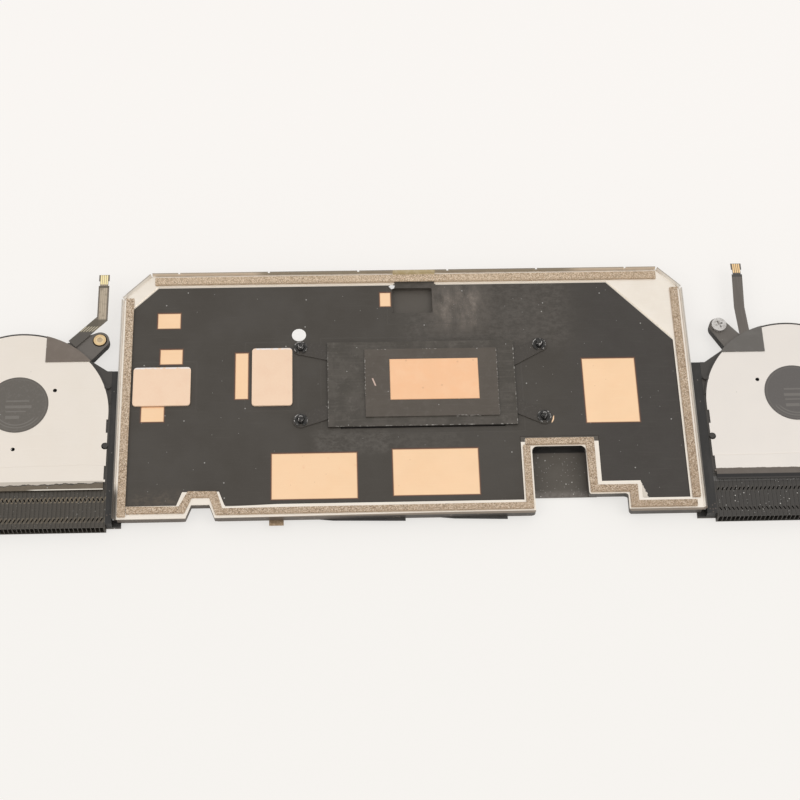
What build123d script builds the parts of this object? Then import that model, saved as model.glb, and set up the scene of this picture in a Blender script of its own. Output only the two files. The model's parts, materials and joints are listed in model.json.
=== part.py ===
from build123d import *
import os
from math import cos, hypot, radians, sin, sqrt, tan

# Cooling module of a thin laptop: two blowers, two fin stacks and a heat spreader inside a shield frame.
# Millimetres. +Z is up: the side that faces the circuit board looks up, and the blowers rest on z = 0.
# Plan positions are measured from the line through the two blower axes, X from the middle between them.

# Heights
Z_COVER = 0.5
Z_BASE = 4.2
BASE_T = 0.4
Z_PLATE = Z_BASE + BASE_T
SPREADER_T = 0.4
Z_SPREAD = 4.3
FILM_T = 0.1
Z_FILM = Z_SPREAD + FILM_T
FLANGE_T = 0.2
Z_FLANGE = Z_SPREAD + FLANGE_T
GASKET_T = 0.7
TRAY_Z = 0.2
TRAY_T = 0.3
Z_TRAY = TRAY_Z + TRAY_T
WALL_T = 0.4
SHEET_GAP = 0.3
EDGE_GAP = 0.15

# Across the part: the shield frame's left bend line, a rail outside each end of the frame, then the blowers
FRAME_LEFT = -85.5
RAIL_LEFT = 2.6
RAIL_RIGHT = 3.7

# Blowers
FAR_R = 23.0
NEAR_R = 27.4
FAN_X = NEAR_R + RAIL_LEFT - FRAME_LEFT
FAR_Y = 24.0
OUTLET_Y = -26.0
WALL = 1.0
INLET_R = 15.0
IMPELLER_R = 20.0
TONGUE_GAP = 1.2
TONGUE_Y = -23.4
TONGUE_SPREAD = 45.0
TONGUE_TILT = -40.0
HUB_R = 9.3
HUB_T = 0.6
BLADES = 41
BLADE_T = 0.4
BLADE_SWEEP = 4.4
RUN_GAP = 0.4
RING_GAP = 0.3
YOKE_T = 0.4
MAGNET_T = 1.2
SHAFT_R = 0.75
SHAFT_GAP = 0.05
SLEEVE_T = 0.8
SLEEVE_FLANGE_R = 3.0
SLEEVE_FLANGE_T = 0.6
STATOR_POLES = 6
STATOR_T = 1.4
POLE_W = 1.5
LABEL_R = 9.15
LABEL_T = 0.08
PLATE_INSET = 0.5
RIM_W = 0.4
RIM_END = 0.0
PLATE_HOLE_R = 0.6
PLATE_HOLES = ((10.8, 4.6), (-0.3, -14.6))
CLIPS = ((-9.7, -5.3), (-24.8, -20.4))
CLIP_DEPTH = 0.5
POST_R = 0.8
POST_TOP = 0.3
POST_Y = (5.6, -14.0)
GUSSET_TOP = 11.0
GUSSET_RISE = 4.0
GUSSET_FLAT = 1.4
TAPE_T = 0.24
TAPE_EDGE_Y = 14.2
TAPE_EDGE_X = 7.4
OUTLET_TAPE_T = 0.12
OUTLET_TAPE_LAP = 0.8
OUTLET_TAPE_W = 2.8

# Mounting ears
EAR_R = 2.8
EAR_Z = 1.6
EAR_LEFT = (23.2, 21.6)
EAR_LEFT_ROOT = (12.5, 20.4)
EAR_LEFT_FLANKS = (111.0, -30.0)
EAR_RIGHT = (-20.4, 23.4)
EAR_RIGHT_ROOTS = ((-14.2, 20.4), (-19.0, 15.6))
EAR_RIGHT_FLANKS = (208.0, 28.0)
EAR_NECK = 2.0
INSERT_R = 1.85
INSERT_BORE_R = 0.9
INSERT_T = 2.4
INSERT_BORE = 1.9
INSERT_PROUD = 0.3
PIP_R = 0.35
PIP_OFF = 0.5
PIP_DEPTH = 0.2
SCREW_HEAD_R = 2.25
SCREW_HEAD_T = 1.2
SCREW_R = 0.9
SCREW_CROSS = 2.4
SCREW_CROSS_W = 0.5
SCREW_TURN = 25.0

# Flex tails
FLEX_T = 0.12
FLEX_W = 3.2
TAIL_LEFT_OFF = 23.65
TAIL_RIGHT_OFF = 12.8
TAIL_LEFT_X = TAIL_LEFT_OFF - FAN_X
TAIL_RIGHT_X = FAN_X - TAIL_RIGHT_OFF
TAIL_LEFT_TIP = 44.3
TAIL_LEFT_ROOT = (-8.6, 20.2)
TAIL_LEFT_BEND_Y = 28.9
TAIL_TIP = 45.3
TAIL_RIGHT_ROOT = (0.2, 17.0)
TAIL_RIGHT_BEND = (-0.6, 29.8)
TAIL_RIGHT_NECK_Y = 41.0
PAD_COUNT = 4
PAD_L = 3.2
PAD_W = 0.42
PAD_PITCH = 0.6
NECK_L = 1.7
NECK_IN = 0.35
HEAD_L = 2.2
PAD_T = 0.05

# Fin stacks and heat pipes
FIN_FRONT = -39.6
FIN_Z = 0.2
FIN_TOP = 4.1
FIN_PITCH = 1.24
FIN_T = 0.2
FIN_SKIN = 0.3
SEAM_W = 0.12
SEAM_T = 0.1
LOCK_ROWS = ((-30.9, 30.0), (-37.2, -30.0))
LOCK_L = 1.1
LOCK_W = 0.35
PIPE_W = 8.0
PIPE_T = 1.4
PIPE_Y = -31.9
PIPE_LOW = 0.15
PIPE_R = 12.0
JOG_R = 3.0
JOG_START = 1.6
PIPE_TURN_IN = 13.1
PIPE_ANGLE = 48.0
PIPE_SPLIT = 0.4
PIPE_PASS = 4.6

# Shield frame, measured at the bend lines
FRAME_RIGHT = FAN_X - NEAR_R - RAIL_RIGHT
FRAME_FAR = 43.5
FRAME_NEAR = -37.5
CHAMFER_LEFT = 8.2
CHAMFER_RIGHT = 6.8
FLANGE_W = 4.1
RELIEF_R = 0.35
FLAP_TRIM = 0.8
LIP_OUT = 0.6
LIP_UP = 1.1
LIP_TRIM = 0.1
LIP_NOTCH_X = -0.5
LIP_NOTCH_PITCH = 27.4
LIP_NOTCH_COUNT = 6
LIP_NOTCH_W = 0.6
LIP_NOTCH_T = 0.5
SKIRT_H = 2.3
DENT_IN = 24.5
DENT_X = FRAME_LEFT + DENT_IN
DENT_FOOT = 8.4
DENT_TOP = 5.2
DENT_DEPTH = 4.2
DENT_MARGIN = 2.8
NOTCH_MARGIN = 3.3
TRAY_INSET = 0.8
NOTCH_IN = 33.0
NOTCH_W = 15.8
NOTCH_RIGHT = FRAME_RIGHT - NOTCH_IN
NOTCH_LEFT = NOTCH_RIGHT - NOTCH_W
NOTCH_FAR = -16.4
NOTCH_R = 1.6
CORNER_R = 0.8
STEP_IN = 21.7
STEP_X = FRAME_RIGHT - STEP_IN
STEP_Y = -31.9
FLOOR_NEAR = -31.2
FLOOR_OUT = 2.6
FLOOR_RIGHT = NOTCH_RIGHT + FLOOR_OUT

# Insulating film
FILM_LEFT = FRAME_LEFT + 3.0
FILM_RIGHT = FRAME_RIGHT - 3.9
FILM_FAR = FRAME_FAR - 3.8
FILM_NEAR = FRAME_NEAR + 4.2
FILM_CHAMFER = 7.2
FILM_CUT_X = 62.0
FILM_CUT_Y = 19.5
TAB_LEFT = -3.2
TAB_RIGHT = 9.0
TAB_FAR = 40.6
GASKET_W = 2.4
GASKET_SIDE = 1.9
GASKET_NEAR = 2.6
GASKET_NOTCH = 1.7
POCKET = (-4.0, 8.2, 29.5, 38.3)
POCKET_DEPTH = 1.7
POCKET_R = 0.8
DOT = (-32.47, 22.25)
DOT_R = 2.12
DOT_T = 0.1
WINDOWS_LEFT = ((10.4, 17.3, 25.2, 30.5), (11.5, 18.2, 12.9, 18.0), (6.4, 13.2, -6.3, -1.2))
WINDOWS = (
    *((FRAME_LEFT + near, FRAME_LEFT + far, low, high) for near, far, low, high in WINDOWS_LEFT),
    (-51.5, -47.6, 0.8, 16.4),
    (-40.6, -15.7, -32.0, -17.3),
    (-7.8, -4.5, 31.9, 36.8),
    (-5.3, 19.8, -31.4, -16.5),
    (52.4, 68.3, -8.8, 12.8),
)
PAD_LEFT_IN = 3.8
PAD_LEFT_W = 17.0
PAD_LEFT_X = FRAME_LEFT + PAD_LEFT_IN
PADS = {"left": (PAD_LEFT_X, PAD_LEFT_X + PAD_LEFT_W, -0.9, 11.9), "centre": (-46.7, -34.7, -1.4, 17.9)}
PAD_RISE = 0.6
PAD_CORNER = 1.0
PAD_SEAT = 1.5

# Processor contact
SLAB = (-24.0, 32.0, -9.2, 19.2)
SLAB_TOP = 5.0
SLAB_LEDGE = 4.0
STAGE = (-12.8, 26.7, -6.2, 16.4)
STAGE_RISE = 0.4
CONTACT = (-5.3, 20.9, -0.6, 12.9)
COVER_FILM_T = 0.08
SPRING_T = 0.3
BOLT_X = (-32.0, 39.9)
BOLT_Y = (-6.7, 17.7)
BOSS_R = 2.4
ARM_W = 4.6
ARM_ROOTS_LEFT = (-3.4, 15.2)
ARM_ROOTS_RIGHT = (-2.0, 12.2)
BOLT_R = 0.9
THREAD_R = 0.75
BOLT_HEAD_R = 2.0
BOLT_HEAD_T = 1.1
BOLT_TIP = 1.6
BOLT_GAP = 0.35
RING_R = 2.0
RING_T = 0.3
RING_SLOT = 1.2
DRIVER_R = 2.6

# Scraps on the rim
GOLD_LEFT = -3.6
GOLD_RIGHT = 9.3
GOLD_T = 0.08
FOIL_X = -39.2
FOIL_W = 4.2
FOIL_T = 0.15
FOIL_OUT = 1.7
SCRAPS = ((-27.0, -2.0), (8.0, 27.5))
SCRAP_OUT = 0.9
FOOT_OUT = 1.0
FOOT_TOP = 1.6
BRIDGE_T = 0.15

# Derived positions
FAN_LINE_Y = -(TAIL_TIP + FIN_FRONT) / 2
PLAN = Plane(origin=(0, FAN_LINE_Y, 0))
LEFT_FAN = Plane(origin=(-FAN_X, FAN_LINE_Y, 0))
RIGHT_FAN = Plane(origin=(FAN_X, FAN_LINE_Y, 0))
RAIL_OUT = FAN_X - NEAR_R
PIPE_TURN_X = RAIL_OUT - PIPE_TURN_IN
PIPE_HIGH = Z_SPREAD - SPREADER_T - PIPE_T
BOLTS = [(x, y) for x in BOLT_X for y in BOLT_Y]


def rect(x0, x1, y0, y1, mode=Mode.ADD):
    with Locations(((x0 + x1) / 2, (y0 + y1) / 2)):
        Rectangle(x1 - x0, y1 - y0, mode=mode)


def around(centre, radius, angle):
    return centre[0] + radius * cos(radians(angle)), centre[1] + radius * sin(radians(angle))


def band(points, width):
    """Outline of a strip of even width along a chain of points, mitred at its corners."""
    left, right = [], []
    for i, (x, y) in enumerate(points):
        dirs = []
        for a, b in ((i - 1, i), (i, i + 1)):
            if 0 <= a and b < len(points):
                dx, dy = points[b][0] - points[a][0], points[b][1] - points[a][1]
                dirs.append((dx / hypot(dx, dy), dy / hypot(dx, dy)))
        nx = -sum(d[1] for d in dirs) / len(dirs)
        ny = sum(d[0] for d in dirs) / len(dirs)
        k = width / 2 / (nx * nx + ny * ny)
        left.append((x + nx * k, y + ny * k))
        right.append((x - nx * k, y - ny * k))
    return left + right[::-1]


# Outline of one blower, seen from above with its axis at the origin and the outlet towards -Y
with BuildSketch() as scroll:
    with BuildLine():
        Line((-FAR_R, FAR_Y - FAR_R), (-FAR_R, OUTLET_Y))
        Line((-FAR_R, OUTLET_Y), (NEAR_R, OUTLET_Y))
        Line((NEAR_R, OUTLET_Y), (NEAR_R, FAR_Y - NEAR_R))
        CenterArc((0, FAR_Y - NEAR_R), NEAR_R, 0, 90)
        CenterArc((0, FAR_Y - FAR_R), FAR_R, 90, 90)
    make_face()

with BuildSketch() as cavity:
    with BuildLine():
        Line((WALL - FAR_R, FAR_Y - FAR_R), (WALL - FAR_R, OUTLET_Y - WALL))
        Line((WALL - FAR_R, OUTLET_Y - WALL), (NEAR_R - WALL, OUTLET_Y - WALL))
        Line((NEAR_R - WALL, OUTLET_Y - WALL), (NEAR_R - WALL, FAR_Y - NEAR_R))
        CenterArc((0, FAR_Y - NEAR_R), NEAR_R - WALL, 0, 90)
        CenterArc((0, FAR_Y - FAR_R), FAR_R - WALL, 90, 90)
    make_face()

TONGUE_R = IMPELLER_R + TONGUE_GAP
TONGUE_X = -TONGUE_R * cos(radians(TONGUE_SPREAD))
with BuildSketch() as tongue:
    rect(-FAR_R + WALL / 2, TONGUE_X, TONGUE_Y, 0)
    Circle(TONGUE_R, mode=Mode.SUBTRACT)
    with Locations((TONGUE_X, TONGUE_Y)):
        Rectangle(FAR_R, FAR_R, rotation=TONGUE_TILT, mode=Mode.SUBTRACT, align=(Align.CENTER, Align.MAX))

GUSSET_END = GUSSET_TOP + GUSSET_RISE
GUSSET_X = sqrt(NEAR_R ** 2 - (GUSSET_END - FAR_Y + NEAR_R) ** 2)
with BuildPart() as scroll_body:
    with BuildSketch(LEFT_FAN.offset(Z_COVER)):
        add(scroll.sketch)
        Polygon(
            (NEAR_R, FAR_Y - NEAR_R), (NEAR_R, GUSSET_TOP), (NEAR_R - GUSSET_FLAT, GUSSET_TOP),
            (GUSSET_X, GUSSET_END), (0, 0), align=None,
        )
    extrude(amount=Z_BASE - Z_COVER)
    with BuildSketch(LEFT_FAN.offset(Z_BASE)):
        for y in POST_Y:
            with Locations((NEAR_R - WALL, y)):
                Circle(POST_R)
    extrude(amount=BASE_T + POST_TOP)
    with BuildSketch(LEFT_FAN.offset(Z_BASE)):
        add(scroll.sketch)
        offset(amount=-RIM_W, kind=Kind.INTERSECTION, mode=Mode.SUBTRACT)
        rect(-FAR_R, NEAR_R, RIM_END, FAR_Y, mode=Mode.INTERSECT)
    extrude(amount=BASE_T)

with BuildPart() as fan_housing_left:
    add(scroll_body.part)
    with BuildSketch(LEFT_FAN.offset(EAR_Z)):
        with Locations(EAR_LEFT):
            Circle(EAR_R)
        Polygon(
            EAR_LEFT_ROOT, *[around(EAR_LEFT, EAR_R, a) for a in EAR_LEFT_FLANKS],
            (GUSSET_X, GUSSET_END - WALL), align=None,
        )
    extrude(amount=Z_BASE - EAR_Z)
    with BuildSketch(LEFT_FAN.offset(Z_COVER)):
        add(cavity.sketch)
        add(tongue.sketch, mode=Mode.SUBTRACT)
    extrude(amount=Z_BASE - Z_COVER, mode=Mode.SUBTRACT)
    with BuildSketch(LEFT_FAN.offset(Z_BASE)):
        with Locations(EAR_LEFT):
            Circle(INSERT_R + RING_GAP)
    extrude(amount=INSERT_PROUD - INSERT_T, mode=Mode.SUBTRACT)
    with BuildSketch(LEFT_FAN.offset(EAR_Z)):
        with Locations(EAR_LEFT):
            Circle(INSERT_BORE_R + RING_GAP)
    extrude(amount=Z_BASE - EAR_Z, mode=Mode.SUBTRACT)

with BuildPart() as fan_housing_right:
    mirror(scroll_body.part, about=Plane.YZ)
    with BuildSketch(RIGHT_FAN.offset(EAR_Z)):
        with Locations(EAR_RIGHT):
            Circle(EAR_R)
        Polygon(*[around(EAR_RIGHT, EAR_R, a) for a in EAR_RIGHT_FLANKS], *EAR_RIGHT_ROOTS, align=None)
        Polygon(*band([EAR_RIGHT, (0, 0)], EAR_NECK), align=None)
    extrude(amount=Z_BASE - EAR_Z)
    with BuildSketch(RIGHT_FAN.offset(Z_COVER)):
        mirror(cavity.sketch, about=Plane.YZ)
        mirror(tongue.sketch, about=Plane.YZ, mode=Mode.SUBTRACT)
    extrude(amount=Z_BASE - Z_COVER, mode=Mode.SUBTRACT)
    with BuildSketch(RIGHT_FAN.offset(EAR_Z)):
        with Locations(EAR_RIGHT):
            Circle(SCREW_R + RING_GAP)
    extrude(amount=Z_BASE - EAR_Z, mode=Mode.SUBTRACT)

with BuildPart() as fan_cover_left:
    with BuildSketch(LEFT_FAN):
        add(scroll.sketch)
        Circle(INLET_R, mode=Mode.SUBTRACT)
    extrude(amount=Z_COVER)

with BuildPart() as base_plate_left:
    with BuildSketch(LEFT_FAN.offset(Z_BASE)):
        add(scroll.sketch)
        offset(amount=-PLATE_INSET, kind=Kind.INTERSECTION, mode=Mode.REPLACE)
        for y in POST_Y:
            with Locations((NEAR_R - WALL, y)):
                Circle(POST_R + RING_GAP, mode=Mode.SUBTRACT)
        with Locations(*PLATE_HOLES):
            Circle(PLATE_HOLE_R, mode=Mode.SUBTRACT)
        for y0, y1 in CLIPS:
            rect(NEAR_R - PLATE_INSET - CLIP_DEPTH, NEAR_R, y0, y1, mode=Mode.SUBTRACT)
    extrude(amount=BASE_T)

# Rotor: blades and hub, with the hub's cup open towards the base plate
BLADE_Z = Z_COVER + RUN_GAP
BLADE_TOP = Z_BASE - RUN_GAP
CUP_R = HUB_R - HUB_T
CUP_Z = BLADE_Z + HUB_T
TIP_X = sqrt(IMPELLER_R ** 2 - BLADE_SWEEP ** 2) - BLADE_T
BLADE_LINE = [(HUB_R - HUB_T / 2, 0), ((HUB_R + TIP_X) / 2, -BLADE_SWEEP / 4), (TIP_X, -BLADE_SWEEP)]
with BuildPart() as impeller_left:
    with BuildSketch(LEFT_FAN.offset(BLADE_Z)):
        Circle(HUB_R)
        with PolarLocations(0, BLADES):
            Polygon(*band(BLADE_LINE, BLADE_T), align=None)
    extrude(amount=BLADE_TOP - BLADE_Z)
    with BuildSketch(LEFT_FAN.offset(CUP_Z)):
        Circle(CUP_R)
    extrude(amount=BLADE_TOP - CUP_Z, mode=Mode.SUBTRACT)

YOKE_R = CUP_R - RING_GAP
YOKE_Z = CUP_Z + YOKE_T
with BuildPart() as rotor_yoke_left:
    with BuildSketch(LEFT_FAN.offset(CUP_Z)):
        Circle(YOKE_R)
        Circle(SHAFT_R + RING_GAP, mode=Mode.SUBTRACT)
    extrude(amount=BLADE_TOP - CUP_Z)
    with BuildSketch(LEFT_FAN.offset(YOKE_Z)):
        Circle(YOKE_R - YOKE_T)
    extrude(amount=BLADE_TOP - YOKE_Z, mode=Mode.SUBTRACT)

MAGNET_R = YOKE_R - YOKE_T - RING_GAP
with BuildPart() as rotor_magnet_left:
    with BuildSketch(LEFT_FAN.offset(YOKE_Z)):
        Circle(MAGNET_R)
        Circle(MAGNET_R - MAGNET_T, mode=Mode.SUBTRACT)
    extrude(amount=BLADE_TOP - YOKE_Z - RUN_GAP)

with BuildPart() as shaft_left:
    with BuildSketch(LEFT_FAN.offset(CUP_Z)):
        Circle(SHAFT_R)
    extrude(amount=Z_BASE - RUN_GAP / 2 - CUP_Z)

SLEEVE_BORE = SHAFT_R + SHAFT_GAP
SLEEVE_R = SLEEVE_BORE + SLEEVE_T
with BuildPart() as bearing_sleeve_left:
    with BuildSketch(LEFT_FAN.offset(YOKE_Z + RUN_GAP / 2)):
        Circle(SLEEVE_R)
        Circle(SLEEVE_BORE, mode=Mode.SUBTRACT)
    extrude(amount=Z_BASE - YOKE_Z - RUN_GAP / 2)
    with BuildSketch(LEFT_FAN.offset(Z_BASE)):
        Circle(SLEEVE_FLANGE_R)
        Circle(SLEEVE_BORE, mode=Mode.SUBTRACT)
    extrude(amount=-SLEEVE_FLANGE_T)

STATOR_R = MAGNET_R - MAGNET_T - RING_GAP
CORE_R = SLEEVE_R + RING_GAP
with BuildPart() as stator_left:
    with BuildSketch(LEFT_FAN.offset(Z_BASE - SLEEVE_FLANGE_T - STATOR_T)):
        Circle(STATOR_R)
        Circle(STATOR_R - POLE_W / 2, mode=Mode.SUBTRACT)
        with PolarLocations(STATOR_R, STATOR_POLES, start_angle=180 / STATOR_POLES):
            Rectangle(2 * POLE_W, POLE_W / 2, mode=Mode.SUBTRACT)
        with PolarLocations(STATOR_R / 2, STATOR_POLES):
            Rectangle(STATOR_R - POLE_W / 2, POLE_W)
        Circle(CORE_R + POLE_W)
        Circle(CORE_R, mode=Mode.SUBTRACT)
    extrude(amount=STATOR_T)

with BuildPart() as hub_label_left:
    with BuildSketch(LEFT_FAN.offset(Z_PLATE)):
        Circle(LABEL_R)
    extrude(amount=LABEL_T)

# Threaded insert of the left ear, closed on top and open below
INSERT_TOP = Z_BASE + INSERT_PROUD
with BuildPart() as ear_insert:
    with BuildSketch(LEFT_FAN.offset(INSERT_TOP)):
        with Locations(EAR_LEFT):
            Circle(INSERT_R)
    extrude(amount=-INSERT_T)
    with BuildSketch(LEFT_FAN.offset(INSERT_TOP - INSERT_T)):
        with Locations(EAR_LEFT):
            Circle(INSERT_BORE_R)
    extrude(amount=INSERT_BORE, mode=Mode.SUBTRACT)
    with BuildSketch(LEFT_FAN.offset(INSERT_TOP)):
        with Locations((EAR_LEFT[0], EAR_LEFT[1] + PIP_OFF)):
            Circle(PIP_R)
    extrude(amount=-PIP_DEPTH, mode=Mode.SUBTRACT)

with BuildPart() as ear_screw:
    with BuildSketch(RIGHT_FAN.offset(Z_BASE)):
        with Locations(EAR_RIGHT):
            Circle(SCREW_HEAD_R)
    extrude(amount=SCREW_HEAD_T)
    with BuildSketch(RIGHT_FAN.offset(Z_BASE)):
        with Locations(EAR_RIGHT):
            Circle(SCREW_R)
    extrude(amount=Z_COVER - Z_BASE)
    with BuildSketch(RIGHT_FAN.offset(Z_BASE + SCREW_HEAD_T)):
        with Locations(EAR_RIGHT):
            Rectangle(SCREW_CROSS, SCREW_CROSS_W, rotation=SCREW_TURN)
            Rectangle(SCREW_CROSS_W, SCREW_CROSS, rotation=SCREW_TURN)
    extrude(amount=-SCREW_HEAD_T / 2, mode=Mode.SUBTRACT)

# Flex tails leave the base plates under the corner tapes and end in rows of contacts
LEFT_ROUTE = [
    (TAIL_LEFT_X + TAIL_LEFT_ROOT[0], TAIL_LEFT_ROOT[1]), (TAIL_LEFT_X, TAIL_LEFT_BEND_Y),
    (TAIL_LEFT_X, TAIL_LEFT_TIP),
]
RIGHT_ROUTE = [
    (TAIL_RIGHT_X + TAIL_RIGHT_ROOT[0], TAIL_RIGHT_ROOT[1]),
    (TAIL_RIGHT_X + TAIL_RIGHT_BEND[0], TAIL_RIGHT_BEND[1]), (TAIL_RIGHT_X, TAIL_RIGHT_NECK_Y),
    (TAIL_RIGHT_X, TAIL_TIP),
]
NECK_STEP = FLEX_W - NECK_IN
with BuildPart() as flex_tail_left:
    with BuildSketch(PLAN.offset(Z_PLATE)):
        Polygon(*band(LEFT_ROUTE, FLEX_W), align=None)
        with Locations((TAIL_LEFT_X, TAIL_LEFT_TIP - HEAD_L - NECK_L / 2)):
            with GridLocations(NECK_STEP, 0, 2, 1):
                Rectangle(NECK_IN, NECK_L, mode=Mode.SUBTRACT)
    extrude(amount=FLEX_T)

with BuildPart() as flex_tail_right:
    with BuildSketch(PLAN.offset(Z_PLATE)):
        Polygon(*band(RIGHT_ROUTE, FLEX_W), align=None)
        with Locations((TAIL_RIGHT_X, TAIL_TIP - HEAD_L - NECK_L / 2)):
            with GridLocations(NECK_STEP, 0, 2, 1):
                Rectangle(NECK_IN, NECK_L, mode=Mode.SUBTRACT)
    extrude(amount=FLEX_T)

with BuildPart() as flex_contacts_left:
    with BuildSketch(PLAN.offset(Z_PLATE + FLEX_T)):
        with Locations((TAIL_LEFT_X, TAIL_LEFT_TIP - PAD_L / 2 - EDGE_GAP)):
            with GridLocations(PAD_PITCH, 0, PAD_COUNT, 1):
                Rectangle(PAD_W, PAD_L)
    extrude(amount=PAD_T)

with BuildPart() as flex_contacts_right:
    with BuildSketch(PLAN.offset(Z_PLATE + FLEX_T)):
        with Locations((TAIL_RIGHT_X, TAIL_TIP - PAD_L / 2 - EDGE_GAP)):
            with GridLocations(PAD_PITCH, 0, PAD_COUNT, 1):
                Rectangle(PAD_W, PAD_L)
    extrude(amount=PAD_T)

with BuildSketch() as tape_outline:
    add(scroll.sketch)
    rect(TAPE_EDGE_X, NEAR_R, TAPE_EDGE_Y, FAR_Y, mode=Mode.INTERSECT)

with BuildPart() as corner_tape_left:
    with BuildSketch(LEFT_FAN.offset(Z_PLATE)):
        add(tape_outline.sketch)
    extrude(amount=TAPE_T)
    with BuildSketch(PLAN.offset(Z_PLATE)):
        Polygon(*band(LEFT_ROUTE, FLEX_W), align=None)
    extrude(amount=FLEX_T, mode=Mode.SUBTRACT)

with BuildPart() as corner_tape_right:
    with BuildSketch(RIGHT_FAN.offset(Z_PLATE)):
        mirror(tape_outline.sketch, about=Plane.YZ)
    extrude(amount=TAPE_T)
    with BuildSketch(PLAN.offset(Z_PLATE)):
        Polygon(*band(RIGHT_ROUTE, FLEX_W), align=None)
    extrude(amount=FLEX_T, mode=Mode.SUBTRACT)

with BuildPart() as outlet_tape_left:
    with BuildSketch(LEFT_FAN.offset(Z_PLATE)):
        rect(
            WALL - FAR_R, NEAR_R - WALL,
            OUTLET_Y + OUTLET_TAPE_LAP - OUTLET_TAPE_W, OUTLET_Y + OUTLET_TAPE_LAP,
        )
    extrude(amount=OUTLET_TAPE_T)

# Fin stack: fins folded over at top and bottom, locked in rows of tabs, grooved below for the heat pipe
GROOVE_TOP = PIPE_LOW + PIPE_T
GROOVE_NEAR = PIPE_Y - PIPE_W / 2 - RING_GAP
GROOVE_FAR = PIPE_Y + PIPE_W / 2 + RING_GAP
FIN_LEFT = -FAN_X - FAR_R
FIN_RIGHT = -FAN_X + NEAR_R
CHANNELS = int((FIN_RIGHT - FIN_LEFT - FIN_T) / FIN_PITCH)
CHANNEL_START = (FIN_LEFT + FIN_RIGHT - CHANNELS * FIN_PITCH + FIN_T) / 2
CHANNEL_PLANES = [
    Plane(origin=(CHANNEL_START + i * FIN_PITCH, FAN_LINE_Y, 0), x_dir=(0, 1, 0), z_dir=(1, 0, 0))
    for i in range(CHANNELS)
]
with BuildPart() as fin_stack_left:
    with BuildSketch(PLAN.offset(FIN_Z)):
        rect(FIN_LEFT, FIN_RIGHT, FIN_FRONT, OUTLET_Y)
    extrude(amount=FIN_TOP - FIN_Z)
    with BuildSketch(PLAN.offset(FIN_Z)):
        rect(FIN_LEFT, FIN_RIGHT, GROOVE_NEAR, GROOVE_FAR)
    extrude(amount=GROOVE_TOP - FIN_Z, mode=Mode.SUBTRACT)
    with BuildSketch(*CHANNEL_PLANES):
        Polygon(
            (FIN_FRONT - WALL, FIN_Z + FIN_SKIN), (GROOVE_NEAR - FIN_SKIN, FIN_Z + FIN_SKIN),
            (GROOVE_NEAR - FIN_SKIN, GROOVE_TOP + FIN_SKIN), (GROOVE_FAR + FIN_SKIN, GROOVE_TOP + FIN_SKIN),
            (GROOVE_FAR + FIN_SKIN, FIN_Z + FIN_SKIN), (OUTLET_Y + WALL, FIN_Z + FIN_SKIN),
            (OUTLET_Y + WALL, FIN_TOP - FIN_SKIN), (FIN_FRONT - WALL, FIN_TOP - FIN_SKIN), align=None,
        )
    extrude(amount=FIN_PITCH - FIN_T, mode=Mode.SUBTRACT)
    with BuildSketch(PLAN.offset(FIN_TOP)):
        with Locations(((FIN_LEFT + FIN_RIGHT) / 2, (FIN_FRONT + OUTLET_Y) / 2)):
            with GridLocations(FIN_PITCH, 0, CHANNELS + 1, 1):
                Rectangle(SEAM_W, OUTLET_Y - FIN_FRONT)
    extrude(amount=-SEAM_T, mode=Mode.SUBTRACT)
    with BuildSketch(PLAN.offset(FIN_TOP)):
        for y, tilt in LOCK_ROWS:
            with Locations(((FIN_LEFT + FIN_RIGHT) / 2, y)):
                with GridLocations(FIN_PITCH, 0, CHANNELS, 1):
                    Rectangle(LOCK_W, LOCK_L, rotation=tilt)
    extrude(amount=-FIN_SKIN, mode=Mode.SUBTRACT)

# Outlines of the shield frame and of the film inside it
with BuildSketch() as frame_outline:
    Polygon(
        (FRAME_LEFT, FRAME_NEAR), (FRAME_LEFT, FRAME_FAR - CHAMFER_LEFT),
        (FRAME_LEFT + CHAMFER_LEFT, FRAME_FAR), (FRAME_RIGHT - CHAMFER_RIGHT, FRAME_FAR),
        (FRAME_RIGHT, FRAME_FAR - CHAMFER_RIGHT), (FRAME_RIGHT, FRAME_NEAR),
        (STEP_X, FRAME_NEAR), (STEP_X, STEP_Y), (NOTCH_RIGHT, STEP_Y), (NOTCH_RIGHT, NOTCH_FAR),
        (NOTCH_LEFT, NOTCH_FAR), (NOTCH_LEFT, FRAME_NEAR),
        (DENT_X + DENT_FOOT / 2, FRAME_NEAR), (DENT_X + DENT_TOP / 2, FRAME_NEAR + DENT_DEPTH),
        (DENT_X - DENT_TOP / 2, FRAME_NEAR + DENT_DEPTH), (DENT_X - DENT_FOOT / 2, FRAME_NEAR),
        align=None,
    )
    for x in (NOTCH_LEFT, NOTCH_RIGHT):
        fillet(frame_outline.vertices().sort_by_distance((x, NOTCH_FAR))[0], radius=NOTCH_R)
    for spot in ((NOTCH_LEFT, FRAME_NEAR), (NOTCH_RIGHT, STEP_Y), (STEP_X, STEP_Y), (STEP_X, FRAME_NEAR)):
        fillet(frame_outline.vertices().sort_by_distance(spot)[0], radius=CORNER_R)

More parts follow.
